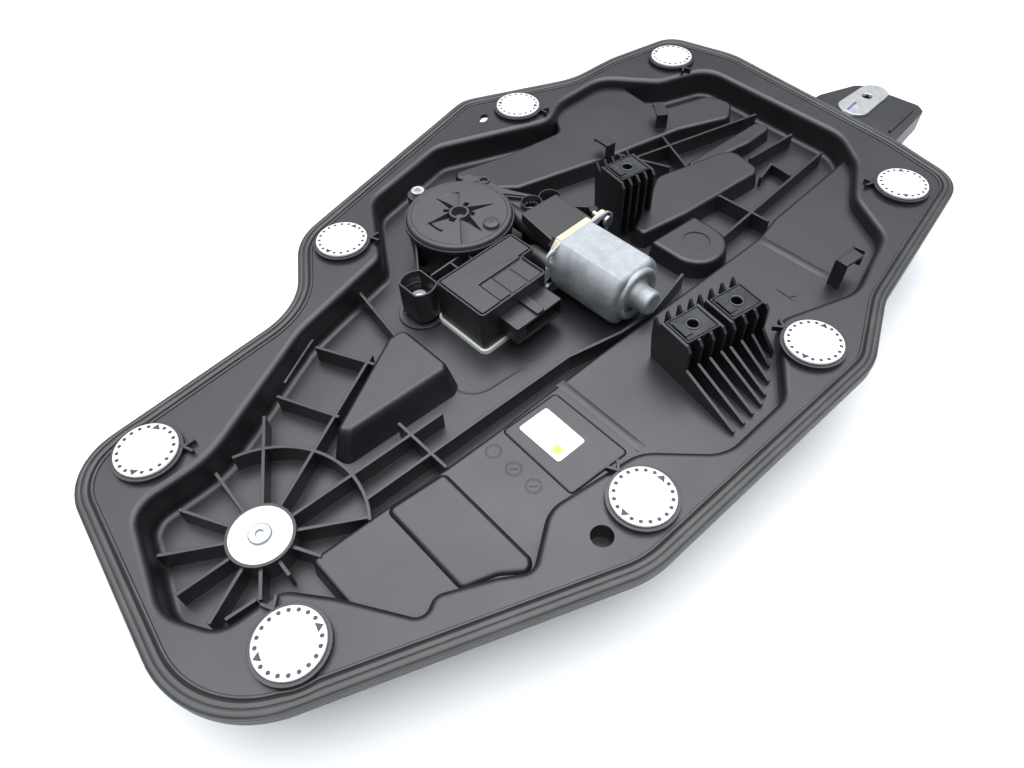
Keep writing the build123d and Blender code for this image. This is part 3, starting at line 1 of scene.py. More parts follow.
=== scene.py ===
import bpy
import numpy as np
from mathutils import Matrix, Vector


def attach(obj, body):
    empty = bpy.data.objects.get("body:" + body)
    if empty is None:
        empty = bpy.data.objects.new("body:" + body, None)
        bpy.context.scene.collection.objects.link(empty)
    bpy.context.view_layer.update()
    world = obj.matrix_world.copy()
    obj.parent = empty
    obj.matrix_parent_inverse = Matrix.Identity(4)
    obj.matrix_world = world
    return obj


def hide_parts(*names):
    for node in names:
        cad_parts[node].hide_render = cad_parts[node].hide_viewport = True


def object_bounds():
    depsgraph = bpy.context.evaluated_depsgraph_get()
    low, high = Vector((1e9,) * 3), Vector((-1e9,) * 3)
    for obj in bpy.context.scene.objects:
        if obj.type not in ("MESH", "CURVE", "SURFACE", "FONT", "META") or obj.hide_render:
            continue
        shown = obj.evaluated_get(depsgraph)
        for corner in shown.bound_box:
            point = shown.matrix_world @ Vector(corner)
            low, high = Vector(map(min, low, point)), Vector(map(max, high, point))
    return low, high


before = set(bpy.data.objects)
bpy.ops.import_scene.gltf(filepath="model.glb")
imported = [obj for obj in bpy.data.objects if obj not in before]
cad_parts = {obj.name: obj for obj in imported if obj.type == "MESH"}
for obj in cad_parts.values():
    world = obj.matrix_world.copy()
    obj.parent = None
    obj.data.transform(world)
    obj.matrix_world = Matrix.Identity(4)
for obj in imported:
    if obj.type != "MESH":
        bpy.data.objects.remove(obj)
cad_low, cad_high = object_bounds()
mm = 0.001


# Carrier panel: one large moulding of black glass-filled polypropylene, grained all over, with
# the tray, its raised areas and the thin upright ribs. Its top edges catch the light.
class Tone:
    """One socket of a material; arithmetic on it adds Math nodes."""

    def __init__(self, tree, socket=None):
        self.tree, self.socket = tree, socket

    def node(self, kind, inputs=None, out=0, **settings):
        """Adds any other node: its settings first, then the values or links of its sockets."""
        made = self.tree.nodes.new("ShaderNode" + kind)
        for key, value in settings.items():
            setattr(made, key, value)
        for key, value in (inputs or {}).items():
            if isinstance(value, Tone):
                self.tree.links.new(value.socket, made.inputs[key])
            else:
                made.inputs[key].default_value = value
        return Tone(self.tree, made.outputs[out])

    def maths(self, operation, other=0.0):
        """A Math node on this value and another, which an operation on one value doesn't use."""
        return self.node("Math", {0: self, 1: other}, operation=operation)

    def __add__(self, other):
        return self.maths("ADD", other)

    def __sub__(self, other):
        return self.maths("SUBTRACT", other)

    def __rsub__(self, other):
        return self.node("Math", {0: other, 1: self}, operation="SUBTRACT")

    def __mul__(self, other):
        return self.maths("MULTIPLY", other)

    def __abs__(self):
        return self.maths("ABSOLUTE")

    def step(self, low, high):
        """0 below low and 1 above high, smooth between; low may be the larger."""
        return self.node("MapRange", {"Value": self, "From Min": low, "From Max": high},
                         interpolation_type="SMOOTHSTEP")

    def noise(self, scale, detail=2.0, roughness=0.5):
        """Cloudy values from 0 to 1 over the point, scale in lumps per metre."""
        return self.node("TexNoise", {"Vector": self, "Scale": scale, "Detail": detail,
                                      "Roughness": roughness})

    def blend(self, low, high):
        """The colour low where this is 0 and high where it is 1."""
        return self.node("Mix", {"Factor": self, 6: low, 7: high}, out=2, data_type="RGBA")

    __radd__, __rmul__ = __add__, __mul__


def start(name):
    """An empty material with its surface shader; gives the material, the shader and the point."""
    material = bpy.data.materials.new(name)
    material.use_nodes = True
    tree = material.node_tree
    return material, tree.nodes["Principled BSDF"], Tone(tree).node("TexCoord", out=3)


def lead(shader, **sockets):
    """Sets or links the shader's sockets, an underscore standing for a blank."""
    for key, value in sockets.items():
        socket = shader.inputs[key.replace("_", " ")]
        if isinstance(value, Tone):
            value.tree.links.new(value.socket, socket)
        else:
            socket.default_value = value


def moulded(name, dark, light, rough, grain, depth, edge=0.5, specular=0.5):
    """Grained plastic: colour from dark to light in slow clouds, fine grain as bump, rounded edges."""
    material, shader, point = start(name)
    clouds = point.noise(14, 4, 0.6)
    speckle = point.noise(grain, 3, 0.65)
    tint = (clouds * 0.7 + speckle * 0.3).step(0.32, 0.68)
    lead(shader, Base_Color=tint.blend((*dark, 1), (*light, 1)),
         Roughness=clouds.step(0.3, 0.7) * 0.08 + (rough - 0.04), Specular_IOR_Level=specular,
         Normal=point.node("Bump", {"Height": speckle, "Distance": depth * mm, "Strength": 0.6,
                                    "Normal": point.node("Bevel", {"Radius": edge * mm}, samples=3)}))
    return material


def paint(material, *names):
    """Gives CAD nodes this finish, keeping their meshes as they are."""
    for name in names:
        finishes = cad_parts[name].data.materials
        finishes.clear()
        finishes.append(material)


panel_black = moulded("panel_black", (0.006, 0.0061, 0.0076), (0.01, 0.0101, 0.0122), 0.42, 900, 0.05,
                      specular=0.75)
paint(panel_black, "carrier_panel")


# Creases of the panel: low rounded beads moulded with it on the shelf, the tray's floor and the
# flange. Each catches a thin line of light.
def piece(name, shells, material, body, sharp=35.0):
    """One new object from shells of points and faces, in millimetres; rides on body."""
    points, faces, base = [], [], 0
    for shell_points, shell_faces in shells:
        points.append(shell_points)
        faces += [[base + i for i in face] for face in shell_faces]
        base += len(shell_points)
    mesh = bpy.data.meshes.new(name)
    mesh.from_pydata((np.concatenate(points) * mm).tolist(), [], faces)
    mesh.materials.append(material)
    mesh.shade_smooth()
    mesh.set_sharp_from_angle(angle=np.radians(sharp))
    made = bpy.data.objects.new(name, mesh)
    bpy.context.scene.collection.objects.link(made)
    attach(made, body)
    return made


def grid_faces(rows, columns, joined=True, closed=False):
    """Four-cornered faces of a grid numbered row by row; joined ties the last column to the first
    and closed the last row to the first."""
    row, column = np.meshgrid(np.arange(rows if closed else rows - 1),
                              np.arange(columns if joined else columns - 1), indexing="ij")
    across, up = (column + 1) % columns, (row + 1) % rows
    return np.stack([row * columns + column, row * columns + across, up * columns + across,
                     up * columns + column], -1).reshape(-1, 4).tolist()


def ridge(corners, wide, high, level):
    """A low rounded bead along 24 even points of the line through corners: the section's height is
    high times a half wave, and it fades out to both ends."""
    corner = np.array(corners, float)
    reach = np.concatenate([[0], np.cumsum(np.linalg.norm(np.diff(corner, axis=0), axis=1))])
    place = np.linspace(0, reach[-1], 24)
    at = np.stack([np.interp(place, reach, corner[:, 0]), np.interp(place, reach, corner[:, 1])], -1)
    along = np.gradient(at, axis=0)
    along /= np.linalg.norm(along, axis=1)[:, None]
    side = np.stack([-along[:, 1], along[:, 0]], -1)
    across = np.concatenate([[-1], np.linspace(-1, 1, 9), [1]])
    lift = np.concatenate([[-0.4], high * np.cos(np.linspace(-1, 1, 9) * np.pi / 2), [-0.4]])
    fade = np.sin(np.linspace(0, np.pi, len(at))) ** 0.25
    rise = np.where(lift[:, None] > 0, lift[:, None] * fade[None], lift[:, None])
    flat = at[None] + side[None] * across[:, None, None] * wide / 2
    points = np.concatenate([flat, (level + rise)[..., None]], -1)
    faces = grid_faces(len(across), len(at), joined=False, closed=True)
    faces += [[k * len(at) for k in range(len(across))][::-1],
              [k * len(at) + len(at) - 1 for k in range(len(across))]]
    return points.reshape(-1, 3), faces


shelf_level, floor_level, flange_level = -7.0, -18.0, 3.0
piece("panel_creases", [
    ridge([(59, 83.6), (57, 22)], 6, 0.5, shelf_level),
    ridge([(49, 73), (47, 27.5)], 5, 0.4, shelf_level),
    ridge([(19, 130), (20, 125), (25, 118.5), (32, 115.4), (44, 114.4), (66, 112)], 1.6, 0.7, floor_level),
    ridge([(-55, 187), (-25, 203)], 1.6, 0.5, flange_level),
    ridge([(241, 73), (240, 23)], 7, 0.45, shelf_level),
    ridge([(208.4, 40.1), (206.7, 25.2)], 1.2, 0.7, shelf_level),
    ridge([(207.2, 30.4), (211.8, 27.0)], 1.0, 0.6, shelf_level),
], panel_black, "root")


# Raised areas of the shelf: two soft-edged terraces moulded with the panel, and a row of three
# small raised rings between them, two of them crossed by a short stroke.
def rounded(corners, arc_steps=24):
    """A closed line through corners (x, y, radius), each rounded by an arc; anticlockwise points."""
    corner = np.array(corners, float)
    at, radius = corner[:, :2], corner[:, 2]
    back = np.roll(at, 1, 0) - at
    ahead = np.roll(at, -1, 0) - at
    back /= np.linalg.norm(back, axis=1)[:, None]
    ahead /= np.linalg.norm(ahead, axis=1)[:, None]
    half = np.arccos(np.clip((back * ahead).sum(1), -1, 1)) / 2
    middle = (back + ahead) / np.linalg.norm(back + ahead, axis=1)[:, None]
    centre = at + middle * (radius / np.sin(half))[:, None]
    reach = (radius / np.tan(half))[:, None]
    first, last = at + back * reach - centre, at + ahead * reach - centre
    turn = np.arctan2(first[:, 0] * last[:, 1] - first[:, 1] * last[:, 0], (first * last).sum(1))
    angle = np.arctan2(first[:, 1], first[:, 0])[:, None] + turn[:, None] * np.linspace(0, 1, arc_steps)
    line = centre[:, None] + radius[:, None, None] * np.stack([np.cos(angle), np.sin(angle)], -1)
    return line.reshape(-1, 2)


def around(centre, radius, flat=99.0, teeth=0, count=72):
    """A circle's points about centre, cut off flat at both sides in x; teeth makes a splined edge."""
    ring = np.linspace(0, 2 * np.pi, count, endpoint=False)
    reach = radius + 0.35 * np.sign(np.sin(ring * teeth + 0.01)) * (teeth > 0)
    return np.array(centre, float) + np.stack([np.clip(reach * np.cos(ring), -flat, flat),
                                               reach * np.sin(ring)], -1)


def outward(line):
    """The outward direction at each point of a closed anticlockwise line."""
    along = np.roll(line, -1, 0) - np.roll(line, 1, 0)
    along /= np.linalg.norm(along, axis=1)[:, None]
    return np.stack([along[:, 1], -along[:, 0]], -1)


def loft(rings, closed=False, axis=2):
    """A skin through outlines of equal count, each at its place on the axis; closed joins the last
    to the first, else both ends are capped. The faces are turned to look outwards."""
    flat = np.stack([np.asarray(outline, float) for outline, place in rings])
    height = np.broadcast_to(np.array([place for outline, place in rings], float)[:, None, None],
                             (*flat.shape[:2], 1))
    points = np.concatenate([flat, height], -1)
    if axis == 1:
        points = points[..., [0, 2, 1]]
    rows, columns = flat.shape[:2]
    faces = grid_faces(rows, columns, closed=closed)
    quads = np.array(faces)
    if not closed:
        faces += [list(range(columns))[::-1], list(range((rows - 1) * columns, rows * columns))]
    points = points.reshape(-1, 3)
    a, b, c, d = (points[quads[:, i]] - points.mean(0) for i in range(4))
    volume = (np.cross(b - a, d - a) * a).sum() + (np.cross(d - c, b - c) * c).sum()
    return points, faces if volume > 0 else [face[::-1] for face in faces]


def raised(corners, rise, lean):
    """A raised area of the shelf: its side leans in by lean below a rounded upper edge."""
    line = rounded(corners, 8)
    inner, high = outward(line), shelf_level + rise
    return loft([(line, shelf_level - 0.5), (line, shelf_level),
                 (line - inner * lean * 0.75, high - rise * 0.25),
                 (line - inner * lean, high - rise * 0.08), (line - inner * lean * 1.25, high),
                 (line - inner * lean * 1.4, high)])


terraces = [
    raised([(-63.2, 30.0, 5), (-46.0, 23.5, 12), (-33.0, 12.5, 5), (-28.2, 19.0, 5), (-26.4, 84.6, 4),
            (-62.2, 88.6, 4)], 1.9, 2.2),
    raised([(10.0, 28.6, 3), (50.4, 25.0, 3), (52.0, 80.2, 3), (12.4, 82.6, 3)], 0.9, 1.3)]
# Radius of the mark's ring and its height above the shelf, round the section
mark_section = [(3.4, -0.2), (4.6, -0.2), (4.6, 0.02), (4.2, 0.14), (3.8, 0.14), (3.4, 0.02)]
mark_x, mark_rows = 0.4, (76.0, 60.6, 46.0)
marks = [loft([(around((mark_x, y), reach, count=40), shelf_level + lift) for reach, lift in mark_section],
              closed=True) for y in mark_rows]
marks += [ridge([(mark_x - 1.6, y + 1.4), (mark_x + 1.6, y - 1.4)], 0.7, 0.25, shelf_level)
          for y in mark_rows[1:]]
piece("shelf_terraces", terraces + marks, panel_black, "root", 60)


# Wedge on the tray's floor: a raised area moulded with the panel. Its sides lean in from the base
# line to the top line, and its upper edge is rounded off.
wedge_base = rounded([(-60.5, 139.5, 3), (-56.5, 130.6, 5), (16.5, 126.2, 5), (22.5, 130.5, 4),
                      (23.5, 177, 5), (6, 177, 5)], 8)
wedge_top = rounded([(-52.5, 142.0, 2.5), (-47.2, 136.4, 5), (16.2, 133.0, 3), (19.6, 136, 3),
                     (19.4, 174.4, 5), (8.0, 174.4, 5)], 8)
wedge_side = [(0.0, -18.2), (0.02, -18.0), (0.45, -10.0), (0.8, -3.8), (0.93, -1.6)]
wedge_edge = [(0.5, -0.4), (1.4, 0.3), (2.2, 0.5), (2.4, 0.5)]
piece("floor_wedge", [loft(
    [(wedge_base * (1 - share) + wedge_top * share, place) for share, place in wedge_side]
    + [(wedge_top - outward(wedge_top) * inset, place) for inset, place in wedge_edge])],
    panel_black, "root", 60)


# Cable clip on the shelf: the web and the upright flap behind its front leg, in the panel's own
# plastic and moulded with it.
def slab(line, low, high, edge=0.4, axis=2):
    """A plate with the closed outline, from low to high, its upper edge rounded off by edge."""
    line = np.asarray(line, float)
    inner = outward(line)
    return loft([(line, low), (line, high - edge), (line - inner * edge * 0.3, high - edge * 0.3),
                 (line - inner * edge, high), (line - inner * edge * 1.5, high)], axis=axis)


def bar(first, last, thick, low, high):
    """An upright rib of even thickness from first to last."""
    first, last = np.array(first, float), np.array(last, float)
    along = (last - first) / np.linalg.norm(last - first)
    side = np.array([-along[1], along[0]]) * thick / 2
    corners = [(*corner, thick * 0.4) for corner in (first - side, last - side, last + side, first + side)]
    return slab(rounded(corners, 4), low, high, thick * 0.25)


piece("clip_flap", [bar((233.0, 19.6), (250.6, 18.1), 1.5, 5.6, 13.4),
                    bar((251.0, 18.9), (251.6, 10.9), 1.6, 2.6, 14.2)],
      panel_black, "root")


# Perimeter seal: black rubber, moulded on to the panel's edge. Its top carries a bead and two
# fine grooves that run all round, and three narrow grooves run round its outer side.
seal_corners = [
    (-189.5, 54.6, 60), (3, -29.5, 60), (185, -37, 40), (235, -16, 60), (374, 5, 28), (390, 63, 120),
    (413, 219, 60), (400.5, 277.5, 22), (337, 290.5, 80), (291, 292, 60), (207, 333, 25),
    (19, 285.5, 45), (-16.5, 231.5, 50), (-169.5, 220.2, 36)]
fixing_points = np.array([
    (-131.5, 196.5), (-134.0, 59.5), (37.5, 259.5), (228.5, 291.0),
    (369.0, 251.5), (339.0, 30.5), (172.0, -5.0), (28.0, -1.0)])
# Depth inwards from the outer edge and height, round the section anticlockwise from below
seal_section = np.array([
    (6.9, -5.9), (0.9, -5.9), (0.35, -5.5), (0.25, -4.9), (0.25, -3.9), (0.7, -3.65), (0.7, -3.35),
    (0.2, -3.1), (0.15, -1.5), (0.6, -1.25), (0.6, -0.95), (0.1, -0.7), (0.1, 0.9), (0.55, 1.15),
    (0.55, 1.45), (0.15, 1.7), (0.2, 2.6), (0.55, 3.45), (1.2, 4.0), (2.1, 4.25), (3.7, 4.27),
    (3.9, 4.1), (4.0, 3.75), (4.2, 3.75), (4.3, 4.1), (4.5, 4.27), (6.3, 4.25), (6.8, 4.05),
    (7.3, 3.7), (7.45, 3.08), (8.2, 3.08), (8.3, 3.6), (8.5, 3.85), (9.4, 3.85), (9.7, 3.6), (9.85, 3.03),
    (6.9, 2.9), (6.9, -5.9)])
inner_groove = seal_section[:, 1] == 3.08
collar_radius, squeeze_width = 18.9, 9.0


def evenly(line, count):
    """The same closed line with count points at equal steps along its length."""
    closed = np.concatenate([line, line[:1]])
    reach = np.concatenate([[0], np.cumsum(np.linalg.norm(np.diff(closed, axis=0), axis=1))])
    place = np.linspace(0, reach[-1], count, endpoint=False)
    return np.stack([np.interp(place, reach, closed[:, 0]), np.interp(place, reach, closed[:, 1])], -1)


seal_line = evenly(rounded(seal_corners), 900)
# Above the flange the section shrinks inwards where a fixing's collar leaves it less room
collar_gap = np.linalg.norm(seal_line[:, None] - fixing_points[None], axis=2).min(1) - collar_radius
room = np.clip(collar_gap / squeeze_width, 0.3, 1.0)
inwards = seal_section[:, :1] * np.where(seal_section[:, 1:] > flange_level, room[None], 1.0)
seal_points = np.concatenate([
    seal_line[None] - outward(seal_line)[None] * inwards[..., None],
    np.broadcast_to(seal_section[:, 1][:, None, None], (*inwards.shape, 1))], -1)
rubber, shader, point = start("seal_rubber")
bloom = point.noise(40, 4, 0.6)
# Painted shade: the floor of the inner groove on the seal's top is painted near black and rougher, standing
# in for the shade inside the groove
groove_shade = point.node("Attribute", attribute_name="groove_shade", out=2)
lead(shader, Base_Color=(bloom.step(0.35, 0.7) * 0.016 + 0.022) * (1 - groove_shade * 0.9),
     Roughness=bloom * 0.12 + 0.4 + groove_shade * 0.4, Specular_IOR_Level=0.7,
     Normal=point.node("Bump", {"Height": point.noise(1500), "Distance": 0.04 * mm, "Strength": 0.5}))
seal = piece("seal_band", [(seal_points.reshape(-1, 3), grid_faces(len(seal_section), len(seal_line)))],
             rubber, "root", 60)
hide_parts("perimeter_seal")
# Points on the inner groove's floor carry the painted shade
groove_shade_points = np.repeat(inner_groove, len(seal_line)).astype(float)
seal.data.attributes.new("groove_shade", "FLOAT", "POINT").data.foreach_set("value", groove_shade_points)


# Fixing caps: thin white nylon discs pressed into the collars, each with a ring of small holes near its rim
# and two dark arrow marks at opposite sides. The holes are dented in and painted near black, as painted
# shade inside them.
def disc(centre, rings):
    """A turned shape about a vertical axis from rings of (radius, height), closed at both ends."""
    ring = np.array(rings, float)
    angle = np.linspace(0, 2 * np.pi, 64, endpoint=False)
    flat = ring[:, 0][:, None, None] * np.stack([np.cos(angle), np.sin(angle)], -1)[None]
    points = np.concatenate([flat + np.array(centre),
                             np.broadcast_to(ring[:, 1][:, None, None], (*flat.shape[:2], 1))], -1)
    faces = grid_faces(len(ring), len(angle))
    faces.append(list(range(len(angle)))[::-1])
    faces.append([(len(ring) - 1) * len(angle) + i for i in range(len(angle))])
    return points.reshape(-1, 3), faces


cap_rings = [(15.4, 4.3), (15.4, 6.2), (16.4, 6.3), (16.5, 6.6), (16.5, 7.5), (16.3, 7.85), (15.9, 8.0),
             (15.0, 8.0), (10.0, 8.0)]
hole_count, hole_ring = 20, 14.3
white, shader, point = start("cap_nylon")
caps = piece("cap_discs", [disc(place, cap_rings) for place in fixing_points], white, "root",
             50)
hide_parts("fixing_caps")
# Each point's place on its own cap, turned so that the arrow marks lie to left and right; the
# map's unit is 20 mm
cap_turns = np.radians([38.5, -15.5, 17.0, 125.0, 105.0, 34.0, 9.5, -1.0])
map_unit = 20.0
corner_vertex = np.zeros(len(caps.data.loops), np.int32)
caps.data.loops.foreach_get("vertex_index", corner_vertex)
places = np.zeros(len(caps.data.vertices) * 3)
caps.data.vertices.foreach_get("co", places)
places = places.reshape(-1, 3)[corner_vertex, :2] / mm
nearest = np.linalg.norm(places[:, None] - fixing_points[None], axis=2).argmin(1)
from_centre = places - fixing_points[nearest]
turn = cap_turns[nearest]
on_cap = np.stack([from_centre[:, 0] * np.cos(turn) + from_centre[:, 1] * np.sin(turn),
                   from_centre[:, 1] * np.cos(turn) - from_centre[:, 0] * np.sin(turn)], -1)
caps.data.uv_layers.new(name="on_cap").data.foreach_set("uv", (on_cap / map_unit).ravel())
cap_map = point.node("UVMap", uv_map="on_cap")
along = point.node("SeparateXYZ", {0: cap_map}) * map_unit
across = point.node("SeparateXYZ", {0: cap_map}, out=1) * map_unit
reach = (along * along + across * across).maths("SQRT")
away = reach - hole_ring
# Steps from hole to hole round the ring, and the way from the nearest hole's middle
steps = across.maths("ARCTAN2", along) * (hole_count / (2 * np.pi))
beside = ((steps + (hole_count + 0.5)).maths("FRACT") - 0.5) * (2 * np.pi * hole_ring / hole_count)
# Painted shade: each hole of the ring is painted near black for the shade inside it
hole_shade = (beside * beside + away * away).step(1.25, 0.75)
at_mark = abs(steps).step(0.7, 0.4) + abs(abs(steps) - hole_count / 2).step(0.7, 0.4)
arrow = (abs(across) * 1.15 + away * 0.9).step(1.55, 1.25) * away.step(-1.75, -1.5)
dark = hole_shade * (1 - at_mark) + arrow * at_mark
middle = (abs(across) * 1.6 + along).step(1.3, 1.1) * along.step(-1.3, -1.1)
wear = point.noise(300, 3, 0.6)
plain = wear.step(0.3, 0.8).blend((0.73, 0.74, 0.75, 1), (0.8, 0.8, 0.81, 1))
shaded = (middle * 0.2).blend(plain, (0.5, 0.5, 0.52, 1))
# Near black where the holes' painted shade and the arrow marks lie
lead(shader, Base_Color=dark.blend(shaded, (0.028, 0.029, 0.032, 1)), Roughness=wear * 0.1 + 0.35,
     Normal=point.node("Bump", {"Height": 1 - dark, "Distance": 0.6 * mm, "Strength": 0.7}))


# Hub washer: a disc moulded in white plastic, a little greyer than the caps. It lies under the
# hub's screw, inside the hub's raised rim. The CAD caps, which the new ones replace, match it.
plain_white, shader, point = start("washer_white")
wear = point.noise(500, 3, 0.6)
soft = point.node("Bevel", {"Radius": 0.4 * mm})
lead(shader, Base_Color=wear.step(0.3, 0.8).blend((0.6, 0.61, 0.62, 1), (0.7, 0.71, 0.72, 1)),
     Roughness=wear * 0.1 + 0.3,
     Normal=point.node("Bump", {"Height": wear, "Distance": 0.02 * mm, "Normal": soft}))
paint(plain_white, "hub_washer", "fixing_caps")


# Fasteners: zinc-plated steel screws, rivets, pins and end fittings, and the clamp that holds the glass.
# The hub's screw has a darker, rougher zinc.
def metal(name, dark, light, rough, scale=400):
    """Bare or plated steel: patchy colour and roughness under a fine grain, rounded edges."""
    material, shader, point = start(name)
    patch = point.noise(90, 3, 0.6)
    scuff = point.noise(scale, 3, 0.7)
    lead(shader, Metallic=1.0,
         Base_Color=(patch * 0.6 + scuff * 0.4).step(0.3, 0.7).blend((*dark, 1), (*light, 1)),
         Roughness=patch * 0.15 + scuff * 0.1 + rough,
         Normal=point.node("Bump", {"Height": scuff, "Distance": 0.03 * mm, "Strength": 0.4,
                                    "Normal": point.node("Bevel", {"Radius": 0.3 * mm}, samples=3)}))
    return material


paint(metal("zinc_plate", (0.5, 0.51, 0.52), (0.74, 0.74, 0.74), 0.22), "motor_screws", "can_screws",
      "lower_pulley_pin", "upper_pulley_pin", "clamp_screw", "glass_clamp", "drum_housing_screws",
      "sheath_fittings", "rail_rivets")
paint(metal("darker_zinc", (0.3, 0.31, 0.32), (0.48, 0.48, 0.48), 0.3), "hub_screw")


# Motor: a drawn steel can, hot-dip galvanised to a blue-grey. Its closed end has a ring bead
# round the shaft's boss, and its pressed flange has an ear for a screw. The rail is galvanised too.
def turned(x, z, rings):
    """A turned shape about the line along y through (x, z), from rings of (radius, y)."""
    points, faces = disc((z, x), rings)
    return points[:, [1, 2, 0]], faces


galvanised = metal("galvanised", (0.36, 0.38, 0.395), (0.5, 0.52, 0.535), 0.55, 260)
paint(galvanised, "motor_can", "guide_rail")
piece("can_trim", [turned(135, 3.5, [
    (7.0, 94), (17.8, 94), (17.6, 91.9), (16.9, 90.9), (15.6, 90.5), (14.2, 90.8), (13.2, 91.7),
    (12.6, 92.7), (10.2, 92.7), (9.2, 92.0), (8.5, 90.6), (8.1, 88.5), (7.0, 88.5)])],
    galvanised, "root", 50)
# Flange's outline in x and z, with the ear as an arc, and the raised ring round the ear's hole
ear_middle = np.array([113.8, 14.0])
ear_turn = np.radians(np.linspace(100, -100, 15))
ear_arc = ear_middle + 4.3 * np.stack([np.cos(ear_turn), np.sin(ear_turn)], -1)
ear_ring = [(2.8, 144.02), (6.0, 144.02), (6.0, 142.6), (5.8, 142.4), (3.1, 142.4), (2.8, 142.6)]
flange_line = np.concatenate([
    [(109.0, 8.6), (107.2, 2.0), (104.2, -4.0), (104.0, -8.0), (106.4, -11.2), (112.0, -12.6),
     (120.0, -14.6), (150.0, -14.6), (157.5, -6.0), (161.0, 4.0), (167.4, 9.6), (169.4, 13.6),
     (168.6, 18.2), (165.0, 21.2), (160.0, 21.9), (150.0, 21.9), (121.0, 21.9), (116.0, 20.6)],
    ear_arc])[::-1]
piece("can_flange", [
    loft([(flange_line, 142.5), (flange_line, 144.0)], axis=1),
    loft([(around(ear_middle, reach, count=40), place) for reach, place in ear_ring], closed=True, axis=1),
], galvanised, "root", 50)


# Brush plate: cream plastic, clamped between the can's flange and the gearbox, where its edge
# shows as a thin strip. It carries the carbon brushes.
cream = moulded("cream_plastic", (0.55, 0.5, 0.34), (0.68, 0.63, 0.46), 0.45, 900, 0.02)
paint(cream, "brush_plate")
strip_line = [(118.6, 16.0), (123.2, 21.6), (150.6, 21.6), (154.8, 16.0), (150.0, 13.0), (122.0, 13.0)]
piece("brush_plate_edge", [loft([(strip_line, 144.1), (strip_line, 148.8)], axis=1)], cream, "root",
      30)
paint(moulded("carbon", (0.02, 0.02, 0.02), (0.03, 0.03, 0.03), 0.6, 900, 0.02), "carbon_brushes")


# Inside the motor: ferrite magnets glued in the can, and the armature of a stacked steel core, copper
# windings and commutator on a ground shaft that runs in sintered bronze bushes. The wheel's axle in the
# gearbox is given the core's dark steel as painted shade, so that the gear cover's bore looks black.
paint(metal("dark_steel", (0.1, 0.1, 0.1), (0.2, 0.2, 0.2), 0.4), "magnets", "armature_core", "wheel_axle")
paint(metal("ground_steel", (0.5, 0.5, 0.5), (0.6, 0.6, 0.6), 0.2), "armature_shaft")
paint(metal("copper", (0.5, 0.2, 0.08), (0.7, 0.32, 0.16), 0.3), "armature_windings", "commutator")
paint(metal("bronze", (0.4, 0.28, 0.14), (0.5, 0.36, 0.2), 0.4), "shaft_bushes")


# Gear cover: a disc moulded in black nylon and pressed into the gearbox. Slots and two low steps
# run out from its bore, and an arc-shaped slot and a round stud lie further out.
cover_centre, cover_top, cover_low = np.array([103.0, 217.0]), 15.6, 9.0
# Direction in degrees, outer end and half width of each slot; direction and end of each step
cover_slots = [(93, 22, 1.9), (-25, 24, 2.6), (-96, 25, 3.1), (167, 24, 2.8),
               (16, 10.5, 1.6), (127, 10.5, 1.5), (-161, 10.8, 2.1), (-58, 10.5, 1.8)]
cover_steps = [(48, 21), (-129, 32)]


def from_ray(angle, degrees):
    """The angle turned from a ray's direction, from -pi to pi."""
    return (angle - np.radians(degrees) + np.pi) % (2 * np.pi) - np.pi


def cover_height(radius, angle):
    """Height over the disc: a shallow dome that falls off at the rim, less 5 mm in each slot, whose
    half width w shrinks outwards as w (1 - t), t running 0 to 1 from 7 mm to its end (a short slot
    keeps w), less a one-sided step along each of two rays that dies away as exp(-distance / 4),
    less 1.8 mm in the arc-shaped slot and 0.35 mm in the fine ring near the rim."""
    height = cover_top - 0.6 * (radius / 33) ** 2 - 0.9 * np.clip((radius - 33.2) / 1.3, 0, 1) ** 2
    for degrees, end, half in cover_slots:
        swing = from_ray(angle, degrees)
        part = np.clip((radius - 7.0) / (end - 7.0), 0, 1)
        width = half * (1 - part) if end > 12 else np.full_like(part, half)
        inside = (np.abs(radius * np.sin(swing)) < width) & (np.cos(swing) > 0)
        height = height - np.where(inside & (radius > 6.9) & (radius < end), 5.0, 0)
    for degrees, end in cover_steps:
        swing = from_ray(angle, degrees)
        beside = radius * np.sin(swing)
        inside = (beside > 0) & (np.cos(swing) > 0) & (radius > 7.5) & (radius < end)
        height = height - np.where(inside, 1.5 * np.exp(-beside / 4.0), 0)
    arc = (np.abs(radius - 21.3) < 0.8) & (np.abs(from_ray(angle, 181)) < 0.3)
    rim = np.abs(radius - 31.6) < 0.25
    return height - np.where(arc, 1.8, 0) - np.where(rim, 0.35, 0)


cover_radii = np.concatenate([[5.2, 5.2], np.linspace(5.4, 34.5, 96), [34.5]])
cover_angles = np.linspace(0, 2 * np.pi, 420, endpoint=False)
radius_grid, angle_grid = np.meshgrid(cover_radii, cover_angles, indexing="ij")
heights = cover_height(radius_grid, angle_grid)
heights[0], heights[-1] = cover_low, cover_low
cover_points = np.stack([cover_centre[0] + radius_grid * np.cos(angle_grid),
                         cover_centre[1] + radius_grid * np.sin(angle_grid), heights], -1)
cover_shell = cover_points.reshape(-1, 3), grid_faces(len(cover_radii), len(cover_angles), closed=True)
stud_rings = [(5.4, 13.0), (5.3, 16.9), (5.1, 17.3), (4.7, 17.5), (1.0, 17.5), (0.9, 17.1), (0.3, 17.1)]
cover_black = moulded("cover_black", (0.022, 0.0222, 0.0255), (0.034, 0.0342, 0.039), 0.52, 1400, 0.02,
                      0.3, 0.8)
cover = piece("gear_cover_disc", [cover_shell, disc((109, 192.5), stud_rings)], cover_black, "root",
              40)
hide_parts("gear_cover")


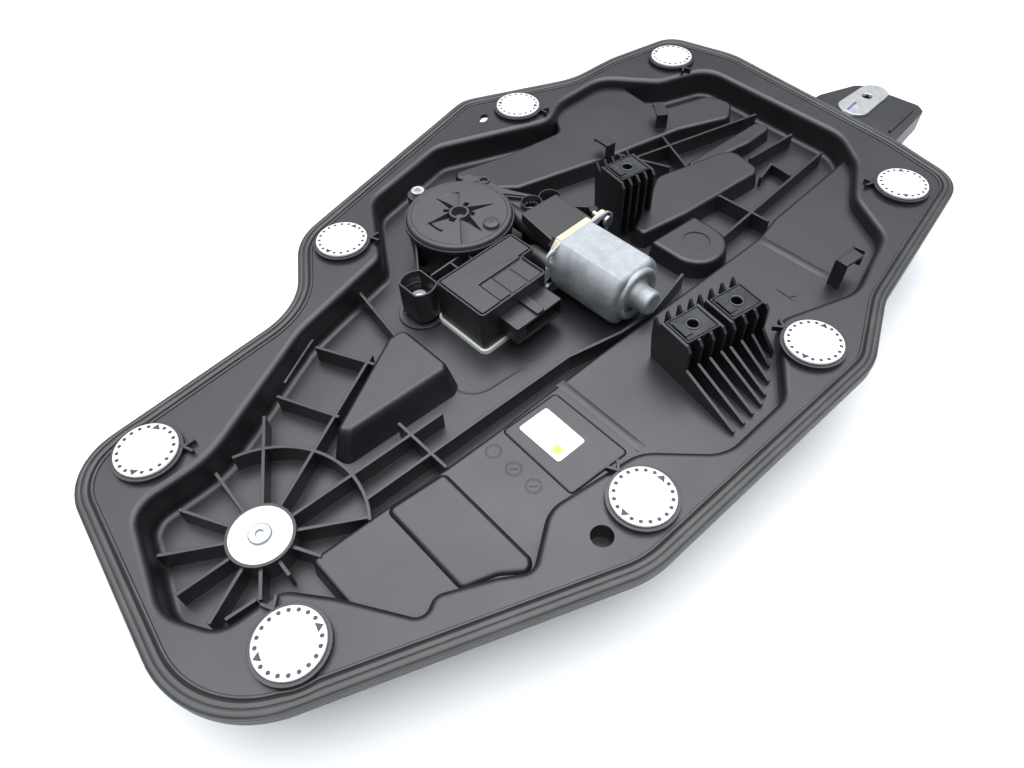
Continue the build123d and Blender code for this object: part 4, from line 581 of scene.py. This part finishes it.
# Gearbox: one moulding of smooth black nylon, with a deep pot for the wheel, the neck to the
# motor, screw cups and the open lattice of upright webs that ties them to the control module.
# The other housings are moulded in the same nylon.
housing_black = moulded("housing_black", (0.007, 0.0071, 0.0084), (0.012, 0.0122, 0.0144), 0.4, 1400, 0.02,
                        0.3, 0.78)
paint(housing_black, "gearbox_housing", "gear_cover", "module_housing", "module_lid", "connector_socket",
      "rail_head", "glass_carrier", "drum_housing")


def cup(centre, radius, wall, low, top, seat, flat=99.0, teeth=0):
    """An open screw cup: the wall from low to top and the seat inside it at seat."""
    inner, cut = radius - wall, flat - wall
    return loft([(around(centre, radius, flat), low), (around(centre, radius, flat), top - 0.3),
                 (around(centre, radius - 0.2, flat - 0.2), top),
                 (around(centre, inner + 0.2, cut + 0.2), top),
                 (around(centre, inner, cut), top - 0.3), (around(centre, inner, cut), (top + seat) / 2),
                 (around(centre, inner - 0.4, cut - 0.4, teeth), (top + seat) / 2 - 0.4),
                 (around(centre, inner - 0.4, cut - 0.4, teeth), seat)])


# Radius and height round the pot's section and round the foot of the cup next to the module
pot_section = [
    (11, -15), (33.0, -15), (33.8, -14), (34.6, 8.4), (36.1, 9.3), (36.2, 12.0), (35.9, 12.4), (35.2, 12.4),
    (34.8, 12.0), (34.8, 9.0), (30.5, 8.9), (30.0, -12), (11, -12)]
foot_section = [(12.4, -18), (15.2, -18), (15.2, -16.6), (14.9, -16.3), (12.4, -16.3)]
neck_line = rounded([(124.5, 150, 0.8), (159.2, 150, 0.8), (161.2, 185.4, 0.8), (130.6, 187.2, 0.8)], 5)
neck_foot = rounded([(127, 150, 2), (156, 150, 2), (158, 182, 2), (133, 184, 2)], 5)
neck_ring = [(118.8, 4.0), (122.6, -10.0), (147.0, -10.0), (154.8, 4.0), (154.6, 16.0), (150.6, 20.9),
             (123.2, 20.9), (118.8, 16.0)]
# Ends, thickness, underside and top of each upright web
webs = [
    ((55.2, 190.2), (88.0, 191.4), 1.5, -13.0, 8.6), ((71.4, 179.2), (71.6, 190.4), 1.5, -13.0, 8.6),
    ((83.0, 179.2), (84.2, 190.8), 1.5, -13.0, 8.6), ((102.0, 179.2), (102.6, 184.0), 1.5, -13.0, 8.6),
    ((52.6, 199.5), (71.6, 225.2), 1.5, -13.0, 8.2), ((136.6, 222.6), (151.0, 202.4), 1.3, -2.0, 8.2),
    ((160.6, 184.6), (174.6, 167.2), 1.4, -8.0, 6.4), ((118.0, 252.0), (110.0, 257.6), 1.5, -10.0, 5.0),
    ((92.0, 252.6), (98.0, 257.6), 1.5, -10.0, 5.0)]
gearbox = piece("gearbox_body", [
    loft([(around(cover_centre, reach), place) for reach, place in pot_section], closed=True),
    slab(neck_line, 4.0, 14.6, 0.5),
    slab(neck_foot, -12.0, 4.0),
    loft([(neck_ring, 148.9), (neck_ring, 151.5)], axis=1),
    turned(135, 3.5, [(6.8, 152), (6.8, 238), (6.2, 241), (4.0, 243), (1.0, 243.5)]),
    turned(119.5, 0.5, [(4.0, 150), (6.2, 150.6), (6.2, 166), (5.4, 168), (2.0, 168.6)]),
    cup((45.7, 191.2), 12.0, 1.3, -15.0, 8.0, -9.0, 9.0),
    cup((148.3, 195.6), 7.4, 1.0, -15.0, 10.0, 0.0, teeth=18),
    cup((163.6, 193.4), 7.6, 0.9, -12.0, 7.5, -9.0),
    cup((103.6, 261.7), 7.5, 4.9, -15.0, 6.0, -1.0),
    loft([(around((45.7, 191.2), reach), place) for reach, place in foot_section], closed=True),
    *[bar(*web) for web in webs],
    disc((175.6, 163.8), [(3.6, -15), (3.4, 5.6), (3.0, 6.0), (0.8, 6.0)]),
], housing_black, "root")
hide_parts("gearbox_housing")


# Lug beside the gear cover: a bored boss on an arm that runs on to the screw cup, with a thin
# web to the pot. All of it is moulded with the gearbox.
arm_line = rounded([(142.4, 237.0, 1), (144.0, 223.5, 3), (148.2, 217.6, 3), (154.2, 208.7, 3),
                    (154.5, 202.0, 1), (158.5, 205.5, 1), (153.8, 215.4, 4), (149.3, 226.2, 4),
                    (149.2, 237.0, 1)], 5)
lug_line = rounded([(134.5, 251.3, 2), (140.6, 242.4, 3), (143.3, 235.8, 1), (148.8, 234.5, 1),
                    (149.8, 244.0, 2), (146.4, 251.2, 2), (144.9, 256.1, 2), (139.8, 256.1, 2)], 5)
web_line = rounded([(136.5, 199.5, 0.5), (143.7, 200.2, 1), (148.4, 204.6, 1), (147.4, 209.0, 2),
                    (146.2, 215.6, 2), (143.2, 221.6, 1), (136.0, 222.4, 0.5)], 5)
boss_section = [(2.7, 1.2), (4.5, 1.2), (4.4, 6.0), (4.1, 6.4), (3.1, 6.4), (2.7, 6.0)]
piece("gearbox_lug", [
    slab(arm_line, 1.8, 5.0), slab(lug_line, 1.2, 4.2), slab(web_line, 2.6, 5.4, 0.3),
    loft([(around((145.7, 240.6), reach, count=48), place) for reach, place in boss_section], closed=True),
], cover_black, "root")


# Connector's shroud: a thick post beside the plug's socket and a low rib on top of it. Both are
# moulded with the control module's housing, in its nylon.
shroud_post = rounded([(63.6, 122.2, 0.8), (69.2, 122.2, 0.4), (69.2, 137.4, 0.4), (63.6, 137.4, 0.8)], 4)
shroud_rib = rounded([(82.6, 122.6, 0.6), (86.2, 122.6, 0.6), (86.8, 137.2, 0.6), (83.2, 137.2, 0.6)], 4)
piece("connector_shroud", [slab(shroud_post, -8.8, 3.9, 0.3), slab(shroud_rib, 3.4, 6.0)], housing_black,
      "root")


# Screw in the gearbox's cup: it has a wide flange and a recess in its head, and is zinc-plated
# brighter than the other fasteners, like the rail's end bracket. The blue stroke in this finish
# lies on the bracket alone.
bright_zinc, shader, point = start("bracket_zinc")
scuff = point.noise(220, 3, 0.7)
stroke_middle, stroke_slope = (446.0, 121.3), 0.07
east = point.node("SeparateXYZ", {0: point}) * 1000.0 - stroke_middle[0]
north = point.node("SeparateXYZ", {0: point}, out=1) * 1000.0 - stroke_middle[1] - east * stroke_slope
stroke = abs(north).step(1.3, 0.5) * abs(east).step(8.0, 7.0)
plating = scuff.step(0.3, 0.7).blend((0.58, 0.59, 0.6, 1), (0.66, 0.66, 0.66, 1))
lead(shader, Metallic=0.9, Roughness=scuff * 0.15 + 0.3,
     Base_Color=(stroke * 0.75).blend(plating, (0.02, 0.07, 0.4, 1)))
piece("cup_screw_flange", [disc((45.5, 191.6), [
    (3.0, -9.0), (6.8, -9.0), (7.0, -8.6), (6.8, -8.2), (5.4, -7.7), (5.2, -2.6), (4.7, -2.2), (3.0, -2.2),
    (2.7, -3.6), (0.6, -3.6)])], bright_zinc, "root", 40)


# Control module's lid: a smooth black plate welded inside the housing's thin upper rim, with a
# sunken panel of three cells along one edge.
rim_line = rounded([(50, 137, 3), (103, 137, 3), (103, 158, 1.6), (113, 158, 2), (113, 179, 3),
                    (50, 179, 3)], 8)
rim_section = [(0, 12.0), (0, 13.7), (0.3, 14.0), (1.0, 14.0), (1.2, 13.8), (1.2, 12.2)]
plate_line = rounded([(52.1, 139.1, 1.2), (66.4, 139.1, 0.5), (66.4, 158.4, 0.5), (100.9, 158.4, 0.3),
                      (100.9, 160.0, 0.3), (110.9, 160.0, 1), (110.9, 176.9, 1.2), (52.1, 176.9, 1.2)], 5)


def cell(left, right, high, top):
    """One smooth cell of the sunken panel, from the lid's near edge to high in y."""
    corners = [(left, 139.6, 0.4), (right, 139.6, 0.4), (right, high, 0.4), (left, high, 0.4)]
    return slab(rounded(corners, 4), 12.4, top, 0.2)


lid = piece("module_cover", [
    slab(rim_line, 12.0, 12.6, 0.2),
    loft([(rim_line - outward(rim_line) * inset, place) for inset, place in rim_section], closed=True),
    slab(plate_line, 12.4, 14.2, 0.3),
    cell(67.0, 75.4, 157.4, 13.9), cell(76.8, 88.8, 156.8, 13.3), cell(90.4, 100.6, 156.8, 13.3),
], housing_black, "root")
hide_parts("module_lid")


# Post pads: a thin frame round each clip nut and a low collar round its hole, moulded in smooth
# black plastic. The frames are turned like the ribbed posts that carry them.
pad_places = [(201.5, 159.3, 27.0), (120.5, 43.5, 24.0), (151.5, 37.0, 24.0)]
pad_turn = np.radians(-11.0)
turned_back = np.array([[np.cos(pad_turn), np.sin(pad_turn)], [-np.sin(pad_turn), np.cos(pad_turn)]])
# Length, width and lift round the frame's section; radius and lift round the collar's
frame_section = [(23.4, 18.6, -0.4), (23.4, 18.6, 0.5), (23.0, 18.2, 0.9), (22.0, 17.2, 0.9),
                 (21.6, 16.8, 0.5), (21.6, 16.8, -0.4)]
collar_section = [(3.1, 0.6), (4.6, 0.6), (4.5, 1.2), (4.2, 1.4), (3.6, 1.4), (3.1, 1.1)]


def frame_line(long, wide):
    """A rounded rectangle turned like the posts."""
    half = np.array([[-long, -wide], [long, -wide], [long, wide], [-long, wide]]) / 2 @ turned_back
    return rounded([(*corner, 0.8) for corner in half], 5)


pads = []
for x, y, top in pad_places:
    pads.append(loft([((x, y) + frame_line(long, wide), top + lift) for long, wide, lift in frame_section],
                     closed=True))
    pads.append(loft([(around((x, y), reach, count=40), top + lift) for reach, lift in collar_section],
                     closed=True))
piece("post_pads", pads, housing_black, "root")


# Rail end bracket: a zinc-plated steel tongue with a bolt hole, held to the rail by two rivets;
# a blue assembly mark is brushed on it.
paint(bright_zinc, "rail_end_bracket")
tongue_corners = [(436.2, 106.2, 10), (489, 108.0, 11), (489, 130.0, 11), (436.2, 132.6, 10)]
tongue = evenly(rounded(tongue_corners, 16), 96)
hole_middle, hole_radius = np.array([468.0, 120.0]), 4.0
spokes = (tongue - hole_middle) / np.linalg.norm(tongue - hole_middle, axis=1)[:, None]
bolt_hole = hole_middle + hole_radius * spokes
bracket = piece("bracket_tongue", [loft([
    (tongue, -20.5), (tongue, -18.8), (tongue - outward(tongue) * 0.3, -18.5),
    (bolt_hole + spokes * 0.32, -18.5), (bolt_hole, -18.8), (bolt_hole, -20.5)], closed=True)],
    bright_zinc, "root", 30)
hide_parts("rail_end_bracket")
inner_rivet = [(2.2, -24.5), (2.2, -20.6), (4.4, -20.4), (4.4, -19.8), (3.8, -19.4), (2.4, -19.3)]
outer_rivet = [(2.2, -24.5), (2.2, -20.4), (3.9, -18.7), (3.9, -18.47), (3.6, -18.44), (1.0, -18.44)]
rivets = piece("rivet_heads", [disc((400, 120), inner_rivet), disc((449, 120), outer_rivet)],
               bright_zinc, "root", 40)
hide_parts("rail_rivets")


# Clip nuts: folded from dark coated spring steel and pushed over the tops of the ribbed posts,
# with a round hole for the screw.
paint(metal("clip_steel", (0.045, 0.046, 0.05), (0.085, 0.087, 0.092), 0.45), "clip_nuts")


# Wheel, drum, coupling, pulleys and slider shoes: moulded in uncoloured acetal. A rubber damper
# sits between wheel and coupling; the CAD seal, which the new one replaces, has the same finish.
paint(moulded("natural_plastic", (0.66, 0.65, 0.58), (0.76, 0.75, 0.68), 0.4, 700, 0.02),
      "worm_wheel", "cable_drum", "lower_pulley", "upper_pulley", "slider_shoes", "drive_coupling")
paint(moulded("soft_rubber", (0.02, 0.02, 0.02), (0.04, 0.04, 0.04), 0.7, 500, 0.05),
      "wheel_damper", "perimeter_seal")


# Inside the control module: a green circuit board with tin-plated pins for the plug, and a pale
# foam gasket that seals the module to the panel.
paint(moulded("gasket_foam", (0.6, 0.6, 0.58), (0.75, 0.75, 0.73), 0.8, 800, 0.05), "module_gasket")
paint(moulded("board_green", (0.02, 0.1, 0.04), (0.04, 0.16, 0.07), 0.3, 300, 0.01), "circuit_board")
paint(metal("contact_tin", (0.6, 0.6, 0.58), (0.75, 0.75, 0.72), 0.25), "connector_pins")


# Lift cable: stranded steel with pressed nipples at its ends, wound on the drum and led through
# smooth black plastic sheaths.
paint(metal("cable_steel", (0.3, 0.3, 0.3), (0.5, 0.5, 0.5), 0.35), "lift_cable", "drum_cable_turns",
      "cable_nipples")
paint(moulded("sheath_black", (0.012, 0.012, 0.013), (0.02, 0.02, 0.022), 0.3, 400, 0.01),
      "lower_sheath", "upper_sheath")


# Label: white film stuck on the shelf's raised area, with a yellow-green stain near one corner
# and a paler one inside a grey ring near another.
paint(moulded("label_film", (0.8, 0.82, 0.78), (0.88, 0.89, 0.87), 0.25, 300, 0.005, 0), "label")
label_line = rounded([(19.3, 46.6, 1.6), (39.2, 45.8, 1.6), (40.4, 76.0, 1.6), (20.0, 77.2, 1.6)], 6)
paper, shader, point = start("label_paper")
tint = point.noise(60)
east = point.node("SeparateXYZ", {0: point}) * 1000.0
north = point.node("SeparateXYZ", {0: point}, out=1) * 1000.0


def blot(x, y, reach, soft):
    """1 inside a round spot about (x, y), fading over soft at its edge."""
    from_x, from_y = east - x, north - y
    return (from_x * from_x + from_y * from_y).step((reach + soft) ** 2, (reach - soft) ** 2)


stains = blot(24.6, 52.6, 2.8, 2.0) * 0.95 + blot(25.2, 70.8, 2.6, 1.2) * 0.3
ring = blot(25.2, 70.8, 3.1, 0.25) - blot(25.2, 70.8, 2.8, 0.25)
film = stains.blend(tint.blend((0.74, 0.75, 0.73, 1), (0.78, 0.78, 0.77, 1)), (0.4, 0.52, 0.03, 1))
lead(shader, Base_Color=(ring * 0.35).blend(film, (0.3, 0.32, 0.3, 1)), Roughness=tint * 0.1 + 0.3)
label_low, label_high = -6.3, -5.85
label = piece("label_sheet", [slab(label_line, label_low, label_high, 0.06)], paper, "root",
              40)
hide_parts("label")


# Photograph's set: a pale floor 0.2 mm under the part, soft light all round and a lamp, and the
# camera at the photograph's place.
floor_mesh = bpy.data.meshes.new("floor")
low, half = cad_low[2] - 0.2 * mm, 6.0
floor_mesh.from_pydata([(-half, -half, low), (half, -half, low), (half, half, low), (-half, half, low)], [],
                       [(0, 1, 2, 3)])
floor_white, shader, point = start("floor_white")
mottle = point.noise(3, 4, 0.6)
lead(shader, Base_Color=mottle.step(0.3, 0.8).blend((0.8, 0.8, 0.8, 1), (0.87, 0.87, 0.87, 1)),
     Roughness=0.55)
floor_mesh.materials.append(floor_white)
floor = bpy.data.objects.new("floor", floor_mesh)
bpy.context.scene.collection.objects.link(floor)

# The room is dim near the floor, bright overhead and a little less so straight above
world = bpy.data.worlds.new("studio")
world.use_nodes = True
way = Tone(world.node_tree).node("TexCoord")
height = way.node("SeparateXYZ", {0: way}, out=2)
toward = way.node("SeparateXYZ", {0: way}) * 0.92 + way.node("SeparateXYZ", {0: way}, out=1) * 0.2
overhead = (height + toward * 0.05).step(0.56, 0.86) * 3.9
glow = overhead + 0.14 - (height - toward * 0.1).step(0.93, 1.03) * 2.2
backdrop = world.node_tree.nodes["Background"]
backdrop.inputs[0].default_value = (0.93, 0.96, 1.0, 1)
world.node_tree.links.new(glow.socket, backdrop.inputs[1])
bpy.context.scene.world = world
bpy.context.scene.view_settings.view_transform = "Standard"

# One soft square lamp, one metre wide, turned to aim at the middle of the panel
light = bpy.data.lights.new("window", "AREA")
light.size, light.energy = 1.0, 5
lamp = bpy.data.objects.new("window", light)
lamp.location = (0.75, 0.85, 2.0)
back = np.array(lamp.location) - np.array([0.1, 0.13, 0.0])
yaw = np.arctan2(back[1], back[0]) + np.pi / 2
lamp.rotation_euler = (np.arccos(back[2] / np.linalg.norm(back)), 0, yaw)
bpy.context.scene.collection.objects.link(lamp)

lens = bpy.data.cameras.new("photo_camera")
lens.sensor_width, lens.lens = 36.0, 25.953
lens.clip_start, lens.clip_end = 0.01, 50
camera = bpy.data.objects.new("photo_camera", lens)
# The line of sight, the level direction across it and the direction square to both; the camera
# is rolled from these by 2.6 degrees about its line of sight
ahead = np.array([0.41906, 0.46560, -0.77951])
level = np.array([0.7433, -0.6690, 0.0])
above = np.array([0.5215, 0.5794, 0.6264])
roll_cos, roll_sin = 0.99899, 0.04495
basis = np.eye(4)
basis[:3, 0] = roll_cos * level - roll_sin * above
basis[:3, 1] = roll_sin * level + roll_cos * above
basis[:3, 2] = -ahead
basis[:3, 3] = np.array([-136.42, -93.01, 319.66]) * mm
camera.matrix_world = Matrix(basis.tolist())
bpy.context.scene.collection.objects.link(camera)
bpy.context.scene.camera = camera
